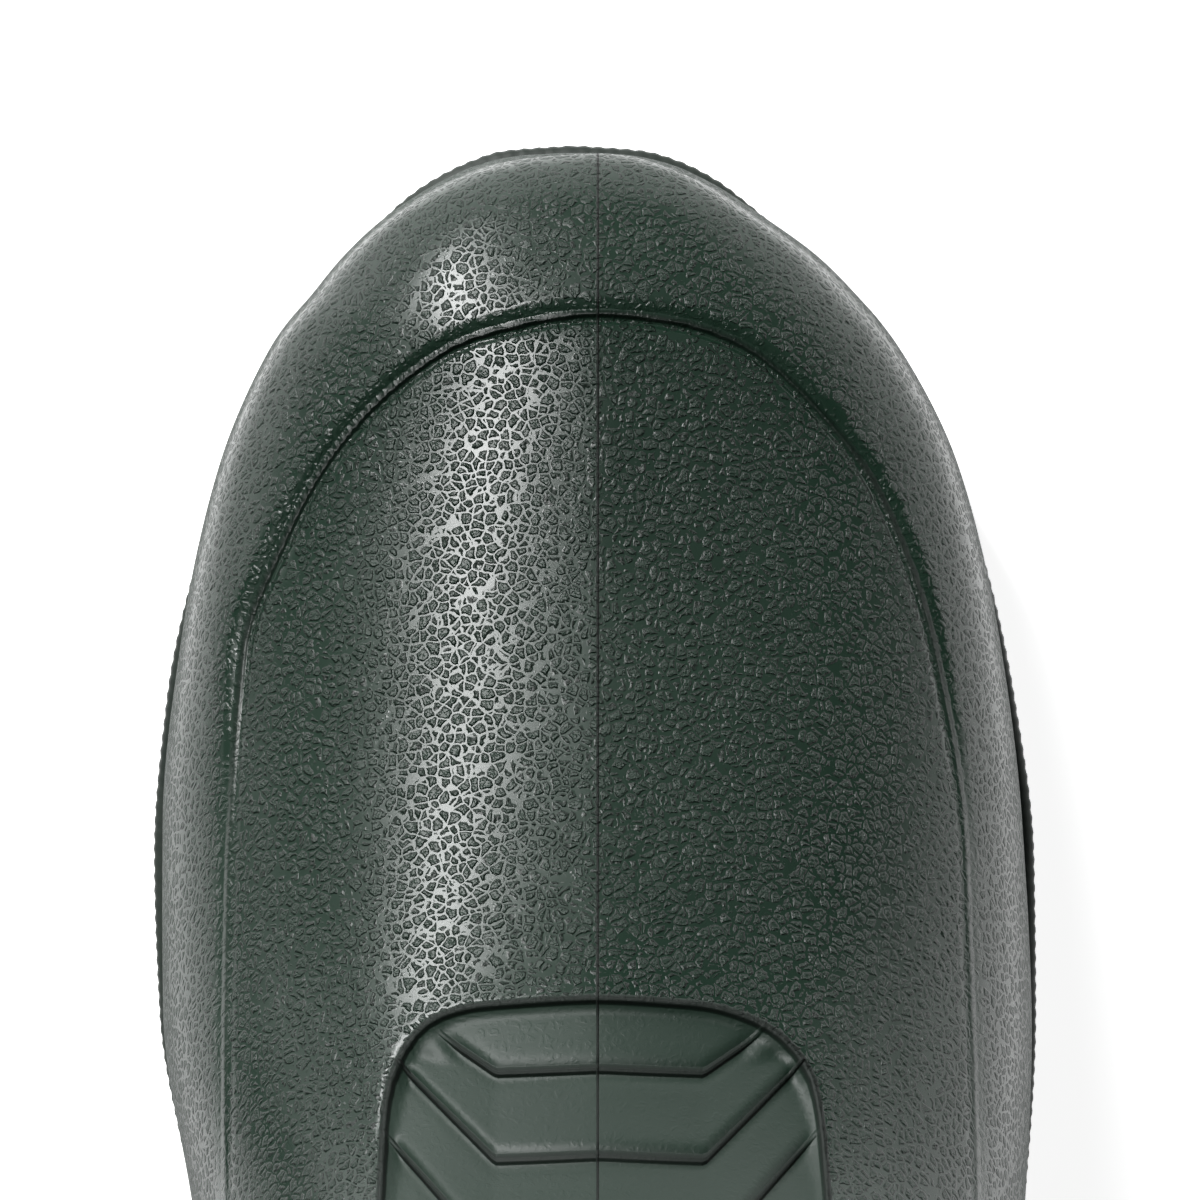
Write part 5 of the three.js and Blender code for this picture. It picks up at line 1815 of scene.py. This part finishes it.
# ------------------------------------------------------------------ studio
@dataclass(frozen=True)
class Studio:
    """Camera, floor and soft light for the close view of the right boot's toe."""

    toe_y: float
    boot_x: float
    picture: float = 0.160
    plane_z: float = 0.022
    height: float = 0.775
    sensor: float = 36.0
    floor_half: float = 14.0
    floor_glow: float = 1.0
    strip_at: tuple[float, float, float] = (0.42, -1.0, 0.95)
    strip_size: tuple[float, float] = (0.22, 1.3)
    strip_power: float = 27.0
    fill_at: tuple[float, float, float] = (-1.4, -2.2, 2.2)
    fill_size: tuple[float, float] = (1.8, 1.8)
    fill_power: float = 2.0

    def camera(self) -> None:
        """Camera over the toe, looking down with the toe up in the picture."""
        lens = bpy.data.cameras.new("camera")
        lens.sensor_width = self.sensor
        lens.lens = self.sensor * self.height / self.picture
        lens.clip_start = 0.01
        lens.clip_end = 60.0
        lens.dof.use_dof = False
        thing = bpy.data.objects.new("camera", lens)
        middle = Vector((self.boot_x, self.toe_y + 0.0607, self.plane_z))
        thing.location = Vector((middle.x, middle.y - 0.0147, middle.z + self.height))
        ahead = (middle - thing.location).normalized()
        right = Vector((-1.0, 0.0, 0.0))
        upward = right.cross(ahead)
        thing.rotation_euler = Matrix((right, upward, -ahead)).transposed().to_euler()
        bpy.context.scene.collection.objects.link(thing)
        bpy.context.scene.camera = thing

    def floor(self) -> None:
        """Wide pale floor under the soles."""
        mesh = bpy.data.meshes.new("studio_floor")
        half = self.floor_half
        under = -0.0006
        corners = [(-half, -half, under), (half, -half, under), (half, half, under), (-half, half, under)]
        mesh.from_pydata(corners, [], [(0, 1, 2, 3)])
        thing = bpy.data.objects.new("studio_floor", mesh)
        bpy.context.scene.collection.objects.link(thing)
        material = bpy.data.materials.new("pale floor")
        material.use_nodes = True
        tree = Tree(material.node_tree)
        shader = material.node_tree.nodes["Principled BSDF"]
        place = tree.add("ShaderNodeTexCoord").outputs["Object"]
        cloud = tree.add("ShaderNodeTexNoise", {"Vector": place, "Scale": 3.0, "Detail": 3.0})
        colour = tree.blend(cloud.outputs["Fac"], (0.86, 0.86, 0.86, 1), (0.9, 0.9, 0.9, 1))
        tree.tree.links.new(colour, shader.inputs["Base Color"])
        shader.inputs["Roughness"].default_value = 0.9
        shader.inputs["Specular IOR Level"].default_value = 0.1
        tree.tree.links.new(colour, shader.inputs["Emission Color"])
        shader.inputs["Emission Strength"].default_value = self.floor_glow
        dress(thing, material)

    def softbox(self, name: str, at: Vector, aim: Vector, size: tuple[float, float], power: float) -> None:
        """One soft rectangular light.

        Args:
            name: Light's name.
            at: Where it hangs.
            aim: Point that it faces.
            size: Width and length.
            power: Watts.
        """
        light = bpy.data.lights.new(name, "AREA")
        light.shape = "RECTANGLE"
        light.size, light.size_y = size
        light.energy = power
        thing = bpy.data.objects.new(name, light)
        thing.location = at
        thing.rotation_euler = (aim - at).to_track_quat("-Z", "Y").to_euler()
        thing.visible_camera = False
        bpy.context.scene.collection.objects.link(thing)

    def light(self) -> None:
        """White surroundings with a long softbox in front for the streak on the vamp."""
        world = bpy.data.worlds.new("studio")
        bpy.context.scene.world = world
        world.use_nodes = True
        background = world.node_tree.nodes["Background"]
        background.inputs["Color"].default_value = (1.0, 1.0, 1.0, 1.0)
        tree = Tree(world.node_tree)
        direction = tree.add("ShaderNodeTexCoord").outputs["Generated"]
        level = tree.add("ShaderNodeSeparateXYZ", {0: direction}).outputs[2]
        glow = tree.spread(tree.math("ABSOLUTE", level), 0.08, 0.2, 1.0, 0.03)
        tree.tree.links.new(glow, background.inputs["Strength"])
        toe = Vector((self.boot_x, self.toe_y + 0.05, 0.06))
        chest = Vector((0, 0, 0.7))
        self.softbox("front strip", Vector(self.strip_at), toe, self.strip_size, self.strip_power)
        self.softbox("room fill", Vector(self.fill_at), chest, self.fill_size, self.fill_power)
        bpy.context.scene.view_settings.view_transform = "Standard"


def main() -> None:
    """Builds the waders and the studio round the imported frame."""
    logging.basicConfig(level=logging.INFO, format="%(message)s")
    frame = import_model()
    layout = Layout(shift_y=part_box("right_boot_upper")[0].y / MM + 306.6)
    maker = MeshMaker(layout)
    wardrobe = Wardrobe(GroupKit())
    shape = BootShape()
    for side in Side:
        Boot(maker, wardrobe, side, shape, 125.0).build()
        LOG.info("built the %s boot", side.word)
    body = BodyShape()
    strips = Strips(maker)
    Fabric(maker, wardrobe, body, Slack()).build()
    Belt(strips, wardrobe, body).build()
    Braces(strips, wardrobe).build()
    Trims(maker, wardrobe, body).build()
    Pocket(maker, strips, wardrobe, body).build()
    Plastics(frame["nodes"], wardrobe).build()
    LOG.info("built the garment")
    studio = Studio(toe_y=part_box("right_outsole")[0].y, boot_x=-0.1253)
    studio.floor()
    studio.light()
    studio.camera()


if __name__ == "__main__":
    main()
